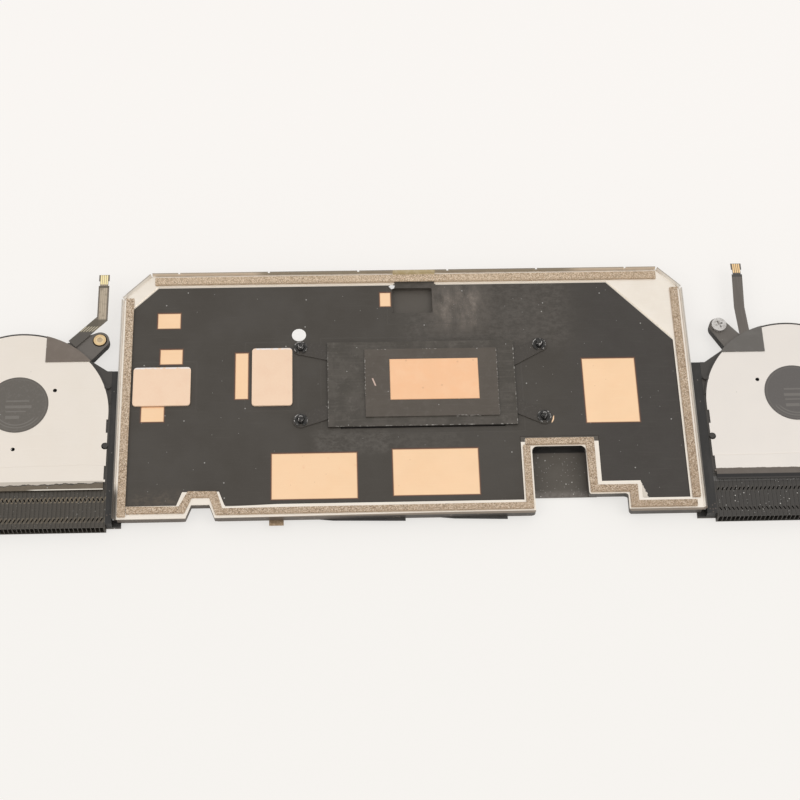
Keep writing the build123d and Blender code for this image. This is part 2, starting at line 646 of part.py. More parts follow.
DENT_FAR = FRAME_NEAR + DENT_DEPTH + FLANGE_W + EDGE_GAP
with BuildSketch() as film_outline:
    Polygon(
        (FILM_LEFT, FILM_NEAR), (FILM_LEFT, FILM_FAR - FILM_CHAMFER), (FILM_LEFT + FILM_CHAMFER, FILM_FAR),
        (TAB_LEFT, FILM_FAR), (TAB_LEFT, TAB_FAR), (TAB_RIGHT, TAB_FAR), (TAB_RIGHT, FILM_FAR),
        (FILM_CUT_X, FILM_FAR), (FILM_RIGHT, FILM_CUT_Y), (FILM_RIGHT, FILM_NEAR),
        (STEP_X + FLANGE_W, FILM_NEAR), (STEP_X + FLANGE_W, STEP_Y + FLANGE_W),
        (NOTCH_RIGHT + FLANGE_W, STEP_Y + FLANGE_W), (NOTCH_RIGHT + FLANGE_W, NOTCH_FAR + NOTCH_MARGIN),
        (NOTCH_LEFT - NOTCH_MARGIN, NOTCH_FAR + NOTCH_MARGIN), (NOTCH_LEFT - NOTCH_MARGIN, FILM_NEAR),
        (DENT_X + DENT_FOOT / 2 + DENT_MARGIN, FILM_NEAR), (DENT_X + DENT_TOP / 2 + DENT_MARGIN, DENT_FAR),
        (DENT_X - DENT_TOP / 2 - DENT_MARGIN, DENT_FAR), (DENT_X - DENT_FOOT / 2 - DENT_MARGIN, FILM_NEAR),
        align=None,
    )

with BuildSketch() as skirt_outline:
    add(frame_outline.sketch)
    offset(amount=-FLANGE_T, kind=Kind.INTERSECTION, mode=Mode.SUBTRACT)
    with BuildSketch(mode=Mode.INTERSECT):
        rect(FRAME_LEFT + FLAP_TRIM, FRAME_RIGHT - FLAP_TRIM, FRAME_NEAR, STEP_Y + FLANGE_T)
        rect(NOTCH_LEFT - WALL, NOTCH_RIGHT + WALL, FRAME_NEAR, NOTCH_FAR - FLAP_TRIM)

# Folds of the rim, each from the start to the end of one bend line, with the outside on the left
LIP_SECTION = (
    (-FLANGE_T, -FLANGE_T), (FLANGE_T / 2, -FLANGE_T), (LIP_OUT + FLANGE_T / 2, LIP_UP - FLANGE_T / 2),
    (LIP_OUT - FLANGE_T / 2, LIP_UP), (-FLANGE_T / 2, 0), (-FLANGE_T, 0),
)
CORNERS = (
    (FRAME_LEFT, FRAME_NEAR), (FRAME_LEFT, FRAME_FAR - CHAMFER_LEFT), (FRAME_LEFT + CHAMFER_LEFT, FRAME_FAR),
    (FRAME_RIGHT - CHAMFER_RIGHT, FRAME_FAR), (FRAME_RIGHT, FRAME_FAR - CHAMFER_RIGHT),
    (FRAME_RIGHT, FRAME_NEAR),
)


def fold_plane(start, end, trim):
    dx, dy = end[0] - start[0], end[1] - start[1]
    run = hypot(dx, dy)
    ux, uy = dx / run, dy / run
    at = (start[0] + ux * trim, FAN_LINE_Y + start[1] + uy * trim, Z_FLANGE)
    return Plane(origin=at, x_dir=(-uy, ux, 0), z_dir=(ux, uy, 0)), run - 2 * trim


with BuildPart() as shield_frame:
    with BuildSketch(PLAN.offset(Z_SPREAD)):
        add(frame_outline.sketch)
        with BuildSketch(mode=Mode.SUBTRACT):
            add(film_outline.sketch)
            offset(amount=EDGE_GAP, kind=Kind.INTERSECTION, mode=Mode.REPLACE)
        with Locations(*CORNERS[1:5]):
            Circle(RELIEF_R, mode=Mode.SUBTRACT)
    extrude(amount=FLANGE_T)
    with BuildSketch(PLAN.offset(Z_FLANGE)):
        add(skirt_outline.sketch)
    extrude(amount=-SKIRT_H)
    for start, end in zip(CORNERS, CORNERS[1:]):
        fold, length = fold_plane(start, end, LIP_TRIM)
        with BuildSketch(fold):
            Polygon(*LIP_SECTION, align=None)
        extrude(amount=length)
    with BuildSketch(PLAN.offset(Z_FLANGE + LIP_UP)):
        with Locations((LIP_NOTCH_X, FRAME_FAR + LIP_OUT)):
            with GridLocations(LIP_NOTCH_PITCH, 0, LIP_NOTCH_COUNT, 1):
                Rectangle(LIP_NOTCH_W, 2 * LIP_OUT)
    extrude(amount=-LIP_NOTCH_T, mode=Mode.SUBTRACT)

with BuildPart() as rear_tape:
    fold, length = fold_plane((GOLD_LEFT, FRAME_FAR), (GOLD_RIGHT, FRAME_FAR), 0)
    with BuildSketch(fold):
        Polygon(
            (-GASKET_SIDE + GASKET_W / 2, 0), (-FLANGE_T / 2, 0), (LIP_OUT - FLANGE_T / 2, LIP_UP),
            (LIP_OUT - FLANGE_T / 2 - GOLD_T, LIP_UP), (-FLANGE_T / 2 - GOLD_T / 2, GOLD_T),
            (-GASKET_SIDE + GASKET_W / 2, GOLD_T), align=None,
        )
    extrude(amount=length)

with BuildPart() as insulating_film:
    with BuildSketch(PLAN.offset(Z_SPREAD)):
        add(film_outline.sketch)
        for window in WINDOWS:
            rect(*window, mode=Mode.SUBTRACT)
        for x0, x1, y0, y1 in PADS.values():
            rect(x0 + PAD_SEAT, x1 - PAD_SEAT, y0 + PAD_SEAT, y1 - PAD_SEAT, mode=Mode.SUBTRACT)
        rect(
            SLAB[0] + SLAB_LEDGE - SHEET_GAP, SLAB[1] - SLAB_LEDGE + SHEET_GAP,
            SLAB[2] - SHEET_GAP, SLAB[3] + SHEET_GAP, mode=Mode.SUBTRACT,
        )
        with Locations(*BOLTS):
            Circle(BOLT_HEAD_R + BOLT_GAP, mode=Mode.SUBTRACT)
        rect(*POCKET, mode=Mode.SUBTRACT)
    extrude(amount=FILM_T)
    with BuildSketch(PLAN.offset(Z_FILM)):
        with Locations(((POCKET[0] + POCKET[1]) / 2, (POCKET[2] + POCKET[3]) / 2)):
            RectangleRounded(POCKET[1] - POCKET[0] + 2 * FILM_T, POCKET[3] - POCKET[2] + 2 * FILM_T, POCKET_R)
    extrude(amount=-POCKET_DEPTH)
    with BuildSketch(PLAN.offset(Z_FILM)):
        with Locations(((POCKET[0] + POCKET[1]) / 2, (POCKET[2] + POCKET[3]) / 2)):
            RectangleRounded(POCKET[1] - POCKET[0], POCKET[3] - POCKET[2], POCKET_R - FILM_T)
    extrude(amount=FILM_T - POCKET_DEPTH, mode=Mode.SUBTRACT)

with BuildPart() as white_dot:
    with BuildSketch(PLAN.offset(Z_FILM)):
        with Locations(DOT):
            Circle(DOT_R)
    extrude(amount=DOT_T)

with BuildPart() as spreader_plate:
    with BuildSketch(PLAN.offset(Z_SPREAD)):
        add(frame_outline.sketch)
        offset(amount=-FLANGE_T - SHEET_GAP, kind=Kind.INTERSECTION, mode=Mode.REPLACE)
        rect(
            POCKET[0] - SHEET_GAP - FILM_T, POCKET[1] + SHEET_GAP + FILM_T,
            POCKET[2] - SHEET_GAP - FILM_T, POCKET[3] + SHEET_GAP + FILM_T, mode=Mode.SUBTRACT,
        )
        rect(
            SLAB[0] + SLAB_LEDGE - SHEET_GAP, SLAB[1] - SLAB_LEDGE + SHEET_GAP,
            SLAB[2] - SHEET_GAP, SLAB[3] + SHEET_GAP, mode=Mode.SUBTRACT,
        )
        with Locations(*BOLTS):
            Circle(BOLT_HEAD_R + BOLT_GAP, mode=Mode.SUBTRACT)
    extrude(amount=-SPREADER_T)

# Black tray behind the spreader: its floor shows in the notch and its wings carry the side rails
with BuildSketch() as tray_outline:
    add(frame_outline.sketch)
    offset(amount=-TRAY_INSET, kind=Kind.INTERSECTION, mode=Mode.REPLACE)

RAIL_NEAR = PIPE_Y + PIPE_W / 2 + WALL_T
FOOT_NEAR = FRAME_NEAR - FOOT_OUT
FOOT_FAR = FRAME_NEAR + TRAY_INSET + WALL_T
with BuildPart() as back_tray:
    with BuildSketch(PLAN.offset(TRAY_Z)):
        add(tray_outline.sketch)
        rect(NOTCH_LEFT - WALL, FLOOR_RIGHT, FLOOR_NEAR, NOTCH_FAR + WALL)
        rect(-RAIL_OUT, FRAME_LEFT + WALL, RAIL_NEAR, GUSSET_TOP)
        rect(FRAME_RIGHT - WALL, RAIL_OUT, RAIL_NEAR, GUSSET_TOP)
        with Locations(*BOLTS):
            Circle(DRIVER_R, mode=Mode.SUBTRACT)
    extrude(amount=TRAY_T)
    with BuildSketch(PLAN.offset(Z_TRAY)):
        add(tray_outline.sketch)
        offset(amount=-WALL_T, kind=Kind.INTERSECTION, mode=Mode.SUBTRACT)
        for x in (FRAME_LEFT, FRAME_RIGHT):
            rect(x - 2 * WALL, x + 2 * WALL, GROOVE_NEAR, GROOVE_FAR, mode=Mode.SUBTRACT)
    extrude(amount=Z_SPREAD - SPREADER_T - Z_TRAY)
    with BuildSketch(PLAN.offset(TRAY_Z)):
        rect(-RAIL_OUT, FRAME_LEFT + 2 * TRAY_INSET, FOOT_NEAR, FOOT_FAR)
        rect(FRAME_RIGHT - 2 * TRAY_INSET, RAIL_OUT, FOOT_NEAR, FOOT_FAR)
    extrude(amount=FOOT_TOP - TRAY_Z)

# Side rails: a bar on the tray's wing that bridges the heat pipe and ends on a foot
RAILS = {
    "left": (-RAIL_OUT, FRAME_LEFT - LIP_OUT - EDGE_GAP),
    "right": (FRAME_RIGHT + LIP_OUT + EDGE_GAP, RAIL_OUT),
}
with BuildPart() as side_rail_left:
    with BuildSketch(PLAN.offset(FIN_TOP)):
        rect(*RAILS["left"], FOOT_NEAR, GUSSET_TOP)
    extrude(amount=-BRIDGE_T)
    with BuildSketch(PLAN.offset(Z_TRAY)):
        rect(*RAILS["left"], RAIL_NEAR, GUSSET_TOP)
    extrude(amount=FIN_TOP - Z_TRAY)
    with BuildSketch(PLAN.offset(FOOT_TOP)):
        rect(*RAILS["left"], FOOT_NEAR, FOOT_FAR)
    extrude(amount=FIN_TOP - FOOT_TOP)

with BuildPart() as side_rail_right:
    with BuildSketch(PLAN.offset(FIN_TOP)):
        rect(*RAILS["right"], FOOT_NEAR, GUSSET_TOP)
    extrude(amount=-BRIDGE_T)
    with BuildSketch(PLAN.offset(Z_TRAY)):
        rect(*RAILS["right"], RAIL_NEAR, GUSSET_TOP)
    extrude(amount=FIN_TOP - Z_TRAY)
    with BuildSketch(PLAN.offset(FOOT_TOP)):
        rect(*RAILS["right"], FOOT_NEAR, FOOT_FAR)
    extrude(amount=FIN_TOP - FOOT_TOP)

# Heat pipes: under the fins, up beside the shield frame, then across under the processor contact
LOW_Z = PIPE_LOW + PIPE_T / 2
HIGH_Z = PIPE_HIGH + PIPE_T / 2
JOG_RISE = HIGH_Z - LOW_Z
CONTACT_Y = (CONTACT[2] + CONTACT[3]) / 2
LANE = (PIPE_W + PIPE_SPLIT) / 2
SLOPE = tan(radians(PIPE_ANGLE))


def pipe_route(side, lane_y, end_x):
    """Centre line of one heat pipe, which passes outside the captive screws; side is -1 left and 1 right."""
    screw_x = BOLT_X[1] if side > 0 else -BOLT_X[0]
    turn_x = max(PIPE_TURN_X - (lane_y - PIPE_Y) / SLOPE, screw_x + PIPE_PASS)
    plan = [
        (side * (FAN_X + FAR_R - WALL), PIPE_Y, LOW_Z), (side * (RAIL_OUT - JOG_START), PIPE_Y, LOW_Z),
        (side * (RAIL_OUT - JOG_START - JOG_RISE), PIPE_Y, HIGH_Z), (side * PIPE_TURN_X, PIPE_Y, HIGH_Z),
        (side * turn_x, lane_y, HIGH_Z), (end_x, lane_y, HIGH_Z),
    ]
    return [(x, y + FAN_LINE_Y, z) for x, y, z in plan]


PIPE_RADII = (JOG_R, JOG_R, PIPE_R, PIPE_R)

with BuildPart() as heat_pipe_left:
    with BuildLine():
        left_run = FilletPolyline(*pipe_route(-1, CONTACT_Y + LANE, STAGE[1]), radius=PIPE_RADII)
    with BuildSketch(Plane(origin=left_run @ 0, x_dir=(0, 1, 0), z_dir=(1, 0, 0))):
        SlotOverall(PIPE_W, PIPE_T)
    sweep()

with BuildPart() as heat_pipe_right:
    with BuildLine():
        right_run = FilletPolyline(*pipe_route(1, CONTACT_Y - LANE, STAGE[0]), radius=PIPE_RADII)
    with BuildSketch(Plane(origin=right_run @ 0, x_dir=(0, 1, 0), z_dir=(-1, 0, 0))):
        SlotOverall(PIPE_W, PIPE_T)
    sweep()

# Processor contact: a slab on the two pipes, a raised stage and the bare face that meets the chip
LEDGE_Z = Z_FILM + SPRING_T
STAGE_TOP = SLAB_TOP + STAGE_RISE
with BuildPart() as cold_plate:
    with BuildSketch(PLAN.offset(Z_SPREAD - SPREADER_T)):
        rect(SLAB[0] + SLAB_LEDGE, SLAB[1] - SLAB_LEDGE, SLAB[2], SLAB[3])
    extrude(amount=SLAB_TOP - Z_SPREAD + SPREADER_T)
    with BuildSketch(PLAN.offset(LEDGE_Z)):
        rect(*SLAB)
    extrude(amount=SLAB_TOP - LEDGE_Z)
    with BuildSketch(PLAN.offset(SLAB_TOP)):
        rect(*STAGE)
    extrude(amount=STAGE_RISE)
    with BuildSketch(PLAN.offset(STAGE_TOP)):
        rect(*CONTACT)
    extrude(amount=COVER_FILM_T)


def grown(box, by):
    return box[0] - by, box[1] + by, box[2] - by, box[3] + by


with BuildPart() as cpu_film:
    with BuildSketch(PLAN.offset(SLAB_TOP)):
        rect(*SLAB)
        rect(*STAGE, mode=Mode.SUBTRACT)
    extrude(amount=COVER_FILM_T)
    with BuildSketch(PLAN.offset(SLAB_TOP)):
        rect(*grown(STAGE, COVER_FILM_T))
        rect(*STAGE, mode=Mode.SUBTRACT)
    extrude(amount=STAGE_RISE)
    with BuildSketch(PLAN.offset(STAGE_TOP)):
        rect(*grown(STAGE, COVER_FILM_T))
        rect(*grown(CONTACT, EDGE_GAP), mode=Mode.SUBTRACT)
    extrude(amount=COVER_FILM_T)

with BuildPart() as spring_arm_left:
    with BuildSketch(PLAN.offset(Z_FILM)):
        rect(
            SLAB[0], SLAB[0] + SLAB_LEDGE - SHEET_GAP,
            ARM_ROOTS_LEFT[0] - ARM_W / 2, ARM_ROOTS_LEFT[1] + ARM_W / 2,
        )
        for root, y in zip(ARM_ROOTS_LEFT, BOLT_Y):
            Polygon(*band([(SLAB[0] + SLAB_LEDGE / 2, root), (BOLT_X[0], y)], ARM_W), align=None)
            with Locations((BOLT_X[0], y)):
                Circle(BOSS_R)
                Circle(BOLT_R + BOLT_GAP, mode=Mode.SUBTRACT)
    extrude(amount=SPRING_T)

with BuildPart() as spring_arm_right:
    with BuildSketch(PLAN.offset(Z_FILM)):
        rect(
            SLAB[1] - SLAB_LEDGE + SHEET_GAP, SLAB[1],
            ARM_ROOTS_RIGHT[0] - ARM_W / 2, ARM_ROOTS_RIGHT[1] + ARM_W / 2,
        )
        for root, y in zip(ARM_ROOTS_RIGHT, BOLT_Y):
            Polygon(*band([(SLAB[1] - SLAB_LEDGE / 2, root), (BOLT_X[1], y)], ARM_W), align=None)
            with Locations((BOLT_X[1], y)):
                Circle(BOSS_R)
                Circle(BOLT_R + BOLT_GAP, mode=Mode.SUBTRACT)
    extrude(amount=SPRING_T)

with BuildPart() as captive_screws:
    with BuildSketch(PLAN.offset(Z_FILM)):
        with Locations(*BOLTS):
            Circle(BOLT_HEAD_R)
    extrude(amount=-BOLT_HEAD_T)
    with BuildSketch(PLAN.offset(Z_FILM)):
        with Locations(*BOLTS):
            Circle(BOLT_R)
    extrude(amount=SPRING_T + RING_T + EDGE_GAP)
    with BuildSketch(PLAN.offset(Z_FILM)):
        with Locations(*BOLTS):
            Circle(THREAD_R)
    extrude(amount=SPRING_T + BOLT_TIP)
    with BuildSketch(PLAN.offset(Z_FILM - BOLT_HEAD_T)):
        with Locations(*BOLTS):
            Rectangle(BOLT_HEAD_R, SCREW_CROSS_W)
            Rectangle(SCREW_CROSS_W, BOLT_HEAD_R)
    extrude(amount=BOLT_HEAD_T / 2, mode=Mode.SUBTRACT)

with BuildPart() as screw_rings:
    with BuildSketch(PLAN.offset(LEDGE_Z)):
        with Locations(*BOLTS):
            Circle(RING_R)
            Circle(BOLT_R + RING_GAP, mode=Mode.SUBTRACT)
        with Locations(*[(x, y - RING_R) for x, y in BOLTS]):
            Rectangle(RING_SLOT, 2 * RING_R, mode=Mode.SUBTRACT)
    extrude(amount=RING_T)

# Gaskets on the rim
GASKET_LEFT_X = FRAME_LEFT + GASKET_SIDE
GASKET_RIGHT_X = FRAME_RIGHT - GASKET_SIDE
GASKET_FAR_Y = FRAME_FAR - GASKET_SIDE
GASKET_NEAR_Y = FRAME_NEAR + GASKET_NEAR
with BuildPart() as gasket_rear:
    with BuildSketch(PLAN.offset(Z_FLANGE)):
        rect(
            FRAME_LEFT + CHAMFER_LEFT + WALL, FRAME_RIGHT - CHAMFER_RIGHT - EDGE_GAP,
            GASKET_FAR_Y - GASKET_W / 2, GASKET_FAR_Y + GASKET_W / 2,
        )
    extrude(amount=GASKET_T)

with BuildPart() as gasket_left:
    with BuildSketch(PLAN.offset(Z_FLANGE)):
        rect(
            GASKET_LEFT_X - GASKET_W / 2, GASKET_LEFT_X + GASKET_W / 2,
            FRAME_NEAR + FLAP_TRIM, FRAME_FAR - CHAMFER_LEFT + RELIEF_R,
        )
    extrude(amount=GASKET_T)

with BuildPart() as gasket_right:
    with BuildSketch(PLAN.offset(Z_FLANGE)):
        rect(
            GASKET_RIGHT_X - GASKET_W / 2, GASKET_RIGHT_X + GASKET_W / 2,
            GASKET_NEAR_Y + GASKET_W / 2 + EDGE_GAP, FRAME_FAR - CHAMFER_RIGHT + RELIEF_R,
        )
    extrude(amount=GASKET_T)

# The front gasket is two strips that butt against each other at the notch's left corner
HALF_W = GASKET_W / 2
BUTT = HALF_W + EDGE_GAP
DENT_GASKET_Y = FRAME_NEAR + DENT_DEPTH + GASKET_NEAR + RELIEF_R
LEG_LEFT_X = NOTCH_LEFT - GASKET_NOTCH
LEG_RIGHT_X = NOTCH_RIGHT + GASKET_NOTCH
LEG_TOP_Y = NOTCH_FAR + GASKET_NOTCH
STEP_RUN_X = STEP_X + GASKET_NOTCH
STEP_RUN_Y = STEP_Y + GASKET_NOTCH
GASKET_STRIPS = (
    [
        (GASKET_LEFT_X + BUTT, GASKET_NEAR_Y),
        (DENT_X - DENT_FOOT / 2 - GASKET_NOTCH, GASKET_NEAR_Y),
        (DENT_X - DENT_TOP / 2 - GASKET_NOTCH, DENT_GASKET_Y),
        (DENT_X + DENT_TOP / 2 + GASKET_NOTCH, DENT_GASKET_Y),
        (DENT_X + DENT_FOOT / 2 + GASKET_NOTCH, GASKET_NEAR_Y),
        (LEG_LEFT_X, GASKET_NEAR_Y),
        (LEG_LEFT_X, LEG_TOP_Y - BUTT),
    ],
    [
        (LEG_LEFT_X - EDGE_GAP, LEG_TOP_Y), (LEG_RIGHT_X, LEG_TOP_Y), (LEG_RIGHT_X, STEP_RUN_Y),
        (STEP_RUN_X, STEP_RUN_Y), (STEP_RUN_X, GASKET_NEAR_Y), (GASKET_RIGHT_X, GASKET_NEAR_Y),
    ],
)
with BuildPart() as gasket_front:
    with BuildSketch(PLAN.offset(Z_FLANGE)):
        for strip in GASKET_STRIPS:
            Polygon(*band(strip, GASKET_W), align=None)
    extrude(amount=GASKET_T)


def pad_plan(box, inset):
    with Locations(((box[0] + box[1]) / 2, (box[2] + box[3]) / 2)):
        RectangleRounded(box[1] - box[0] - 2 * inset, box[3] - box[2] - 2 * inset, PAD_CORNER)


with BuildPart() as thermal_pad_left:
    with BuildSketch(PLAN.offset(Z_FILM)):
        pad_plan(PADS["left"], 0)
    extrude(amount=PAD_RISE)
    with BuildSketch(PLAN.offset(Z_FILM)):
        pad_plan(PADS["left"], PAD_SEAT)
    extrude(amount=-FILM_T)

with BuildPart() as thermal_pad_centre:
    with BuildSketch(PLAN.offset(Z_FILM)):
        pad_plan(PADS["centre"], 0)
    extrude(amount=PAD_RISE)
    with BuildSketch(PLAN.offset(Z_FILM)):
        pad_plan(PADS["centre"], PAD_SEAT)
    extrude(amount=-FILM_T)

with BuildPart() as foil_tab:
    with BuildSketch(PLAN.offset(Z_FLANGE - SKIRT_H)):
        rect(FOIL_X - FOIL_W / 2, FOIL_X + FOIL_W / 2, FRAME_NEAR - FOIL_OUT, FRAME_NEAR + FLAP_TRIM)
    extrude(amount=-FOIL_T)

with BuildPart() as edge_tapes:
    with BuildSketch(PLAN.offset(Z_FLANGE - SKIRT_H)):
        for x0, x1 in SCRAPS:
            Polygon(
                (x0, FRAME_NEAR), (x0 + FOIL_W, FRAME_NEAR - SCRAP_OUT / 2), (x1, FRAME_NEAR - SCRAP_OUT),
                (x1, FRAME_NEAR + FLAP_TRIM), (x0, FRAME_NEAR + FLAP_TRIM), align=None,
            )
    extrude(amount=-FOIL_T)

# Right-hand pieces that mirror the left-hand ones
with BuildPart() as fan_cover_right:
    mirror(fan_cover_left.part, about=Plane.YZ)

with BuildPart() as base_plate_right:
    mirror(base_plate_left.part, about=Plane.YZ)

with BuildPart() as impeller_right:
    mirror(impeller_left.part, about=Plane.YZ)

with BuildPart() as rotor_yoke_right:
    mirror(rotor_yoke_left.part, about=Plane.YZ)

with BuildPart() as rotor_magnet_right:
    mirror(rotor_magnet_left.part, about=Plane.YZ)

with BuildPart() as shaft_right:
    mirror(shaft_left.part, about=Plane.YZ)

with BuildPart() as bearing_sleeve_right:
    mirror(bearing_sleeve_left.part, about=Plane.YZ)

with BuildPart() as stator_right:
    mirror(stator_left.part, about=Plane.YZ)

with BuildPart() as hub_label_right:
    mirror(hub_label_left.part, about=Plane.YZ)

with BuildPart() as outlet_tape_right:
    mirror(outlet_tape_left.part, about=Plane.YZ)

with BuildPart() as fin_stack_right:
    mirror(fin_stack_left.part, about=Plane.YZ)

PIECES = {
    "back_tray": back_tray, "side_rail_left": side_rail_left, "side_rail_right": side_rail_right,
    "heat_pipe_left": heat_pipe_left, "heat_pipe_right": heat_pipe_right, "spreader_plate": spreader_plate,
    "shield_frame": shield_frame, "insulating_film": insulating_film, "cold_plate": cold_plate,
    "cpu_film": cpu_film, "spring_arm_left": spring_arm_left, "spring_arm_right": spring_arm_right,
    "captive_screws": captive_screws, "screw_rings": screw_rings, "gasket_rear": gasket_rear,
    "gasket_left": gasket_left, "gasket_right": gasket_right, "gasket_front": gasket_front,
    "thermal_pad_left": thermal_pad_left, "thermal_pad_centre": thermal_pad_centre, "rear_tape": rear_tape,
    "white_dot": white_dot, "foil_tab": foil_tab, "edge_tapes": edge_tapes,
    "ear_insert": ear_insert, "ear_screw": ear_screw,
    "fan_housing_left": fan_housing_left, "fan_housing_right": fan_housing_right,
    "fan_cover_left": fan_cover_left, "fan_cover_right": fan_cover_right,
    "base_plate_left": base_plate_left, "base_plate_right": base_plate_right,
    "impeller_left": impeller_left, "impeller_right": impeller_right,
    "rotor_yoke_left": rotor_yoke_left, "rotor_yoke_right": rotor_yoke_right,
    "rotor_magnet_left": rotor_magnet_left, "rotor_magnet_right": rotor_magnet_right,
    "shaft_left": shaft_left, "shaft_right": shaft_right,
    "bearing_sleeve_left": bearing_sleeve_left, "bearing_sleeve_right": bearing_sleeve_right,
    "stator_left": stator_left, "stator_right": stator_right,
    "hub_label_left": hub_label_left, "hub_label_right": hub_label_right,
    "flex_tail_left": flex_tail_left, "flex_tail_right": flex_tail_right,
    "flex_contacts_left": flex_contacts_left, "flex_contacts_right": flex_contacts_right,
    "corner_tape_left": corner_tape_left, "corner_tape_right": corner_tape_right,
    "outlet_tape_left": outlet_tape_left, "outlet_tape_right": outlet_tape_right,
    "fin_stack_left": fin_stack_left, "fin_stack_right": fin_stack_right,
}
os.makedirs("parts", exist_ok=True)
for name, piece in PIECES.items():
    piece.part.label = name
    export_step(piece.part, f"parts/{name}.step")
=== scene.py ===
import json
import math

import bmesh
import bpy
from mathutils import Matrix, Vector

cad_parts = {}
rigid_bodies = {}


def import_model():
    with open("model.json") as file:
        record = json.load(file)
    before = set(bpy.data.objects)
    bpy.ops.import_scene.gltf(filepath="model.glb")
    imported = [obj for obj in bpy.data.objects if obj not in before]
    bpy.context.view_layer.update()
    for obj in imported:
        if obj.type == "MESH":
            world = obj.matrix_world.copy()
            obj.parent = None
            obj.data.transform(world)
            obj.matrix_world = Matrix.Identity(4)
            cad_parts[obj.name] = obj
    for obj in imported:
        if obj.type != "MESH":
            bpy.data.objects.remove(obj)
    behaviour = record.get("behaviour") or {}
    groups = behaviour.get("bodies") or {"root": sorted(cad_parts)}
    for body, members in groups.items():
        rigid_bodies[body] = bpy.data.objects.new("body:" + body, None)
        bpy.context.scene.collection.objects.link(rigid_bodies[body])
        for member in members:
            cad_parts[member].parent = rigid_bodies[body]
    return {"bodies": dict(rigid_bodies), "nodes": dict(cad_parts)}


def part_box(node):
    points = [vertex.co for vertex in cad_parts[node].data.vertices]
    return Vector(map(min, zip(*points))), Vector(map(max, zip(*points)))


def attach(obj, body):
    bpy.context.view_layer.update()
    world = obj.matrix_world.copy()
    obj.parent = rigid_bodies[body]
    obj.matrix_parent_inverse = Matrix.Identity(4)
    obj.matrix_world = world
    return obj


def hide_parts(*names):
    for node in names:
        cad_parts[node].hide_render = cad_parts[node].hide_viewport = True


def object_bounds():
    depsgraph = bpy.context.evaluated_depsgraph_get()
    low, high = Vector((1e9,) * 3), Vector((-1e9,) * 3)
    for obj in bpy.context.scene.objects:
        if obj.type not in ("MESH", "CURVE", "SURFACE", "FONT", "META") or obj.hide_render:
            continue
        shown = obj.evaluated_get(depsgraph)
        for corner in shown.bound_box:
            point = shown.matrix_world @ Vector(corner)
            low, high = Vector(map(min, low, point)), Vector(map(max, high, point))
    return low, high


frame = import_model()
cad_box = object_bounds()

MM = 1000  # millimetres in a metre

nodes = frame["nodes"]
kept = set(nodes.values()) | set(frame["bodies"].values())
for spare in set(bpy.data.objects) - kept:
    bpy.data.objects.remove(spare)

scene = bpy.context.scene
scene.view_settings.view_transform = "Standard"


def middle(node):
    """The middle of a CAD node, in millimetres of the shared frame."""
    low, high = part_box(node)
    return (low + high) / 2 * MM


def top(node):
    """The height of a CAD node's highest point, in millimetres."""
    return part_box(node)[1].z * MM


# The plan: millimetres, with y counted from the line through the blower axes, as in the part's source
FAN_X, FAN_LINE_Y = middle("shaft_right").xy
FILM_TOP = top("insulating_film")
CONTACT_TOP = top("cold_plate")
FIN_PITCH = 1.24

# Captive screws: the middle between the four, and how far they stand to both sides of it
SCREWS_X = (middle("captive_screws").x, 35.95)
SCREWS_Y = (middle("captive_screws").y - FAN_LINE_Y, 12.2)

# Rectangles on the plan are x from, x to, y from, y to
WINDOWS = (
    (-75.1, -68.2, 25.2, 30.5), (-74.0, -67.3, 12.9, 18.0), (-79.1, -72.3, -6.3, -1.2),
    (-51.5, -47.6, 0.8, 16.4), (-40.6, -15.7, -32.0, -17.3), (-7.8, -4.5, 31.9, 36.8),
    (-5.3, 19.8, -31.4, -16.5), (52.4, 68.3, -8.8, 12.8),
)

# The film is painted short of its solid: along the far side, except at a tab, and at two cut corners
# A corner is given by the direction that it faces and by how far out the cut lies in that direction
FILM_FAR = 39.3
FILM_TAB = (-3.6, 9.4)
CUT_CORNERS = (((0.7375, 0.6754), 72.12), ((-0.7071, 0.7071), 80.9))

# Stretches that draw a pattern out along x or y, as on rolled or brushed metal
BRUSHED_X = (0.05, 1, 1)
BRUSHED_Y = (1, 0.05, 1)

# Waves, in radians for each millimetre
FIN_RATE = 2 * math.pi / FIN_PITCH
WEAVE_RATE = 15.0
THREAD_RATE = 18.0
TRACE_RATE = 10.5
STROKE_RATE = 7.6

# Sockets of a Mix node that mixes colours
MIX_FACTOR, MIX_UNDER, MIX_OVER, MIX_RESULT = 0, 6, 7, 2

NOISE_RANGE = (0.25, 0.75)  # nearly all values of a noise lie in it
SPECK_CORE = 0.55  # share of a speck's radius that is full
SAME_CORNER = 2e-5  # metres within which a vertex counts as a corner that is named

WARM_WHITE = (1.0, 0.985, 0.965)


def row(x, y, z):
    """A plan point in millimetres as a point of the shared frame in metres."""
    return Vector((x, y + FAN_LINE_Y, z)) / MM


def feed(tree, socket, value):
    """Links a socket to another node's output, or sets it to a value."""
    if isinstance(value, bpy.types.NodeSocket):
        tree.links.new(value, socket)
    elif value is not None:
        socket.default_value = value


def add_node(tree, kind, values=(), out=0, **props):
    """Adds a shader node, feeds its inputs by number or name and gives one of its outputs."""
    made = tree.nodes.new(kind)
    for key, value in props.items():
        setattr(made, key, value)
    pairs = values.items() if isinstance(values, dict) else enumerate(values)
    for key, value in pairs:
        feed(tree, made.inputs[key], value)
    return made.outputs[out]


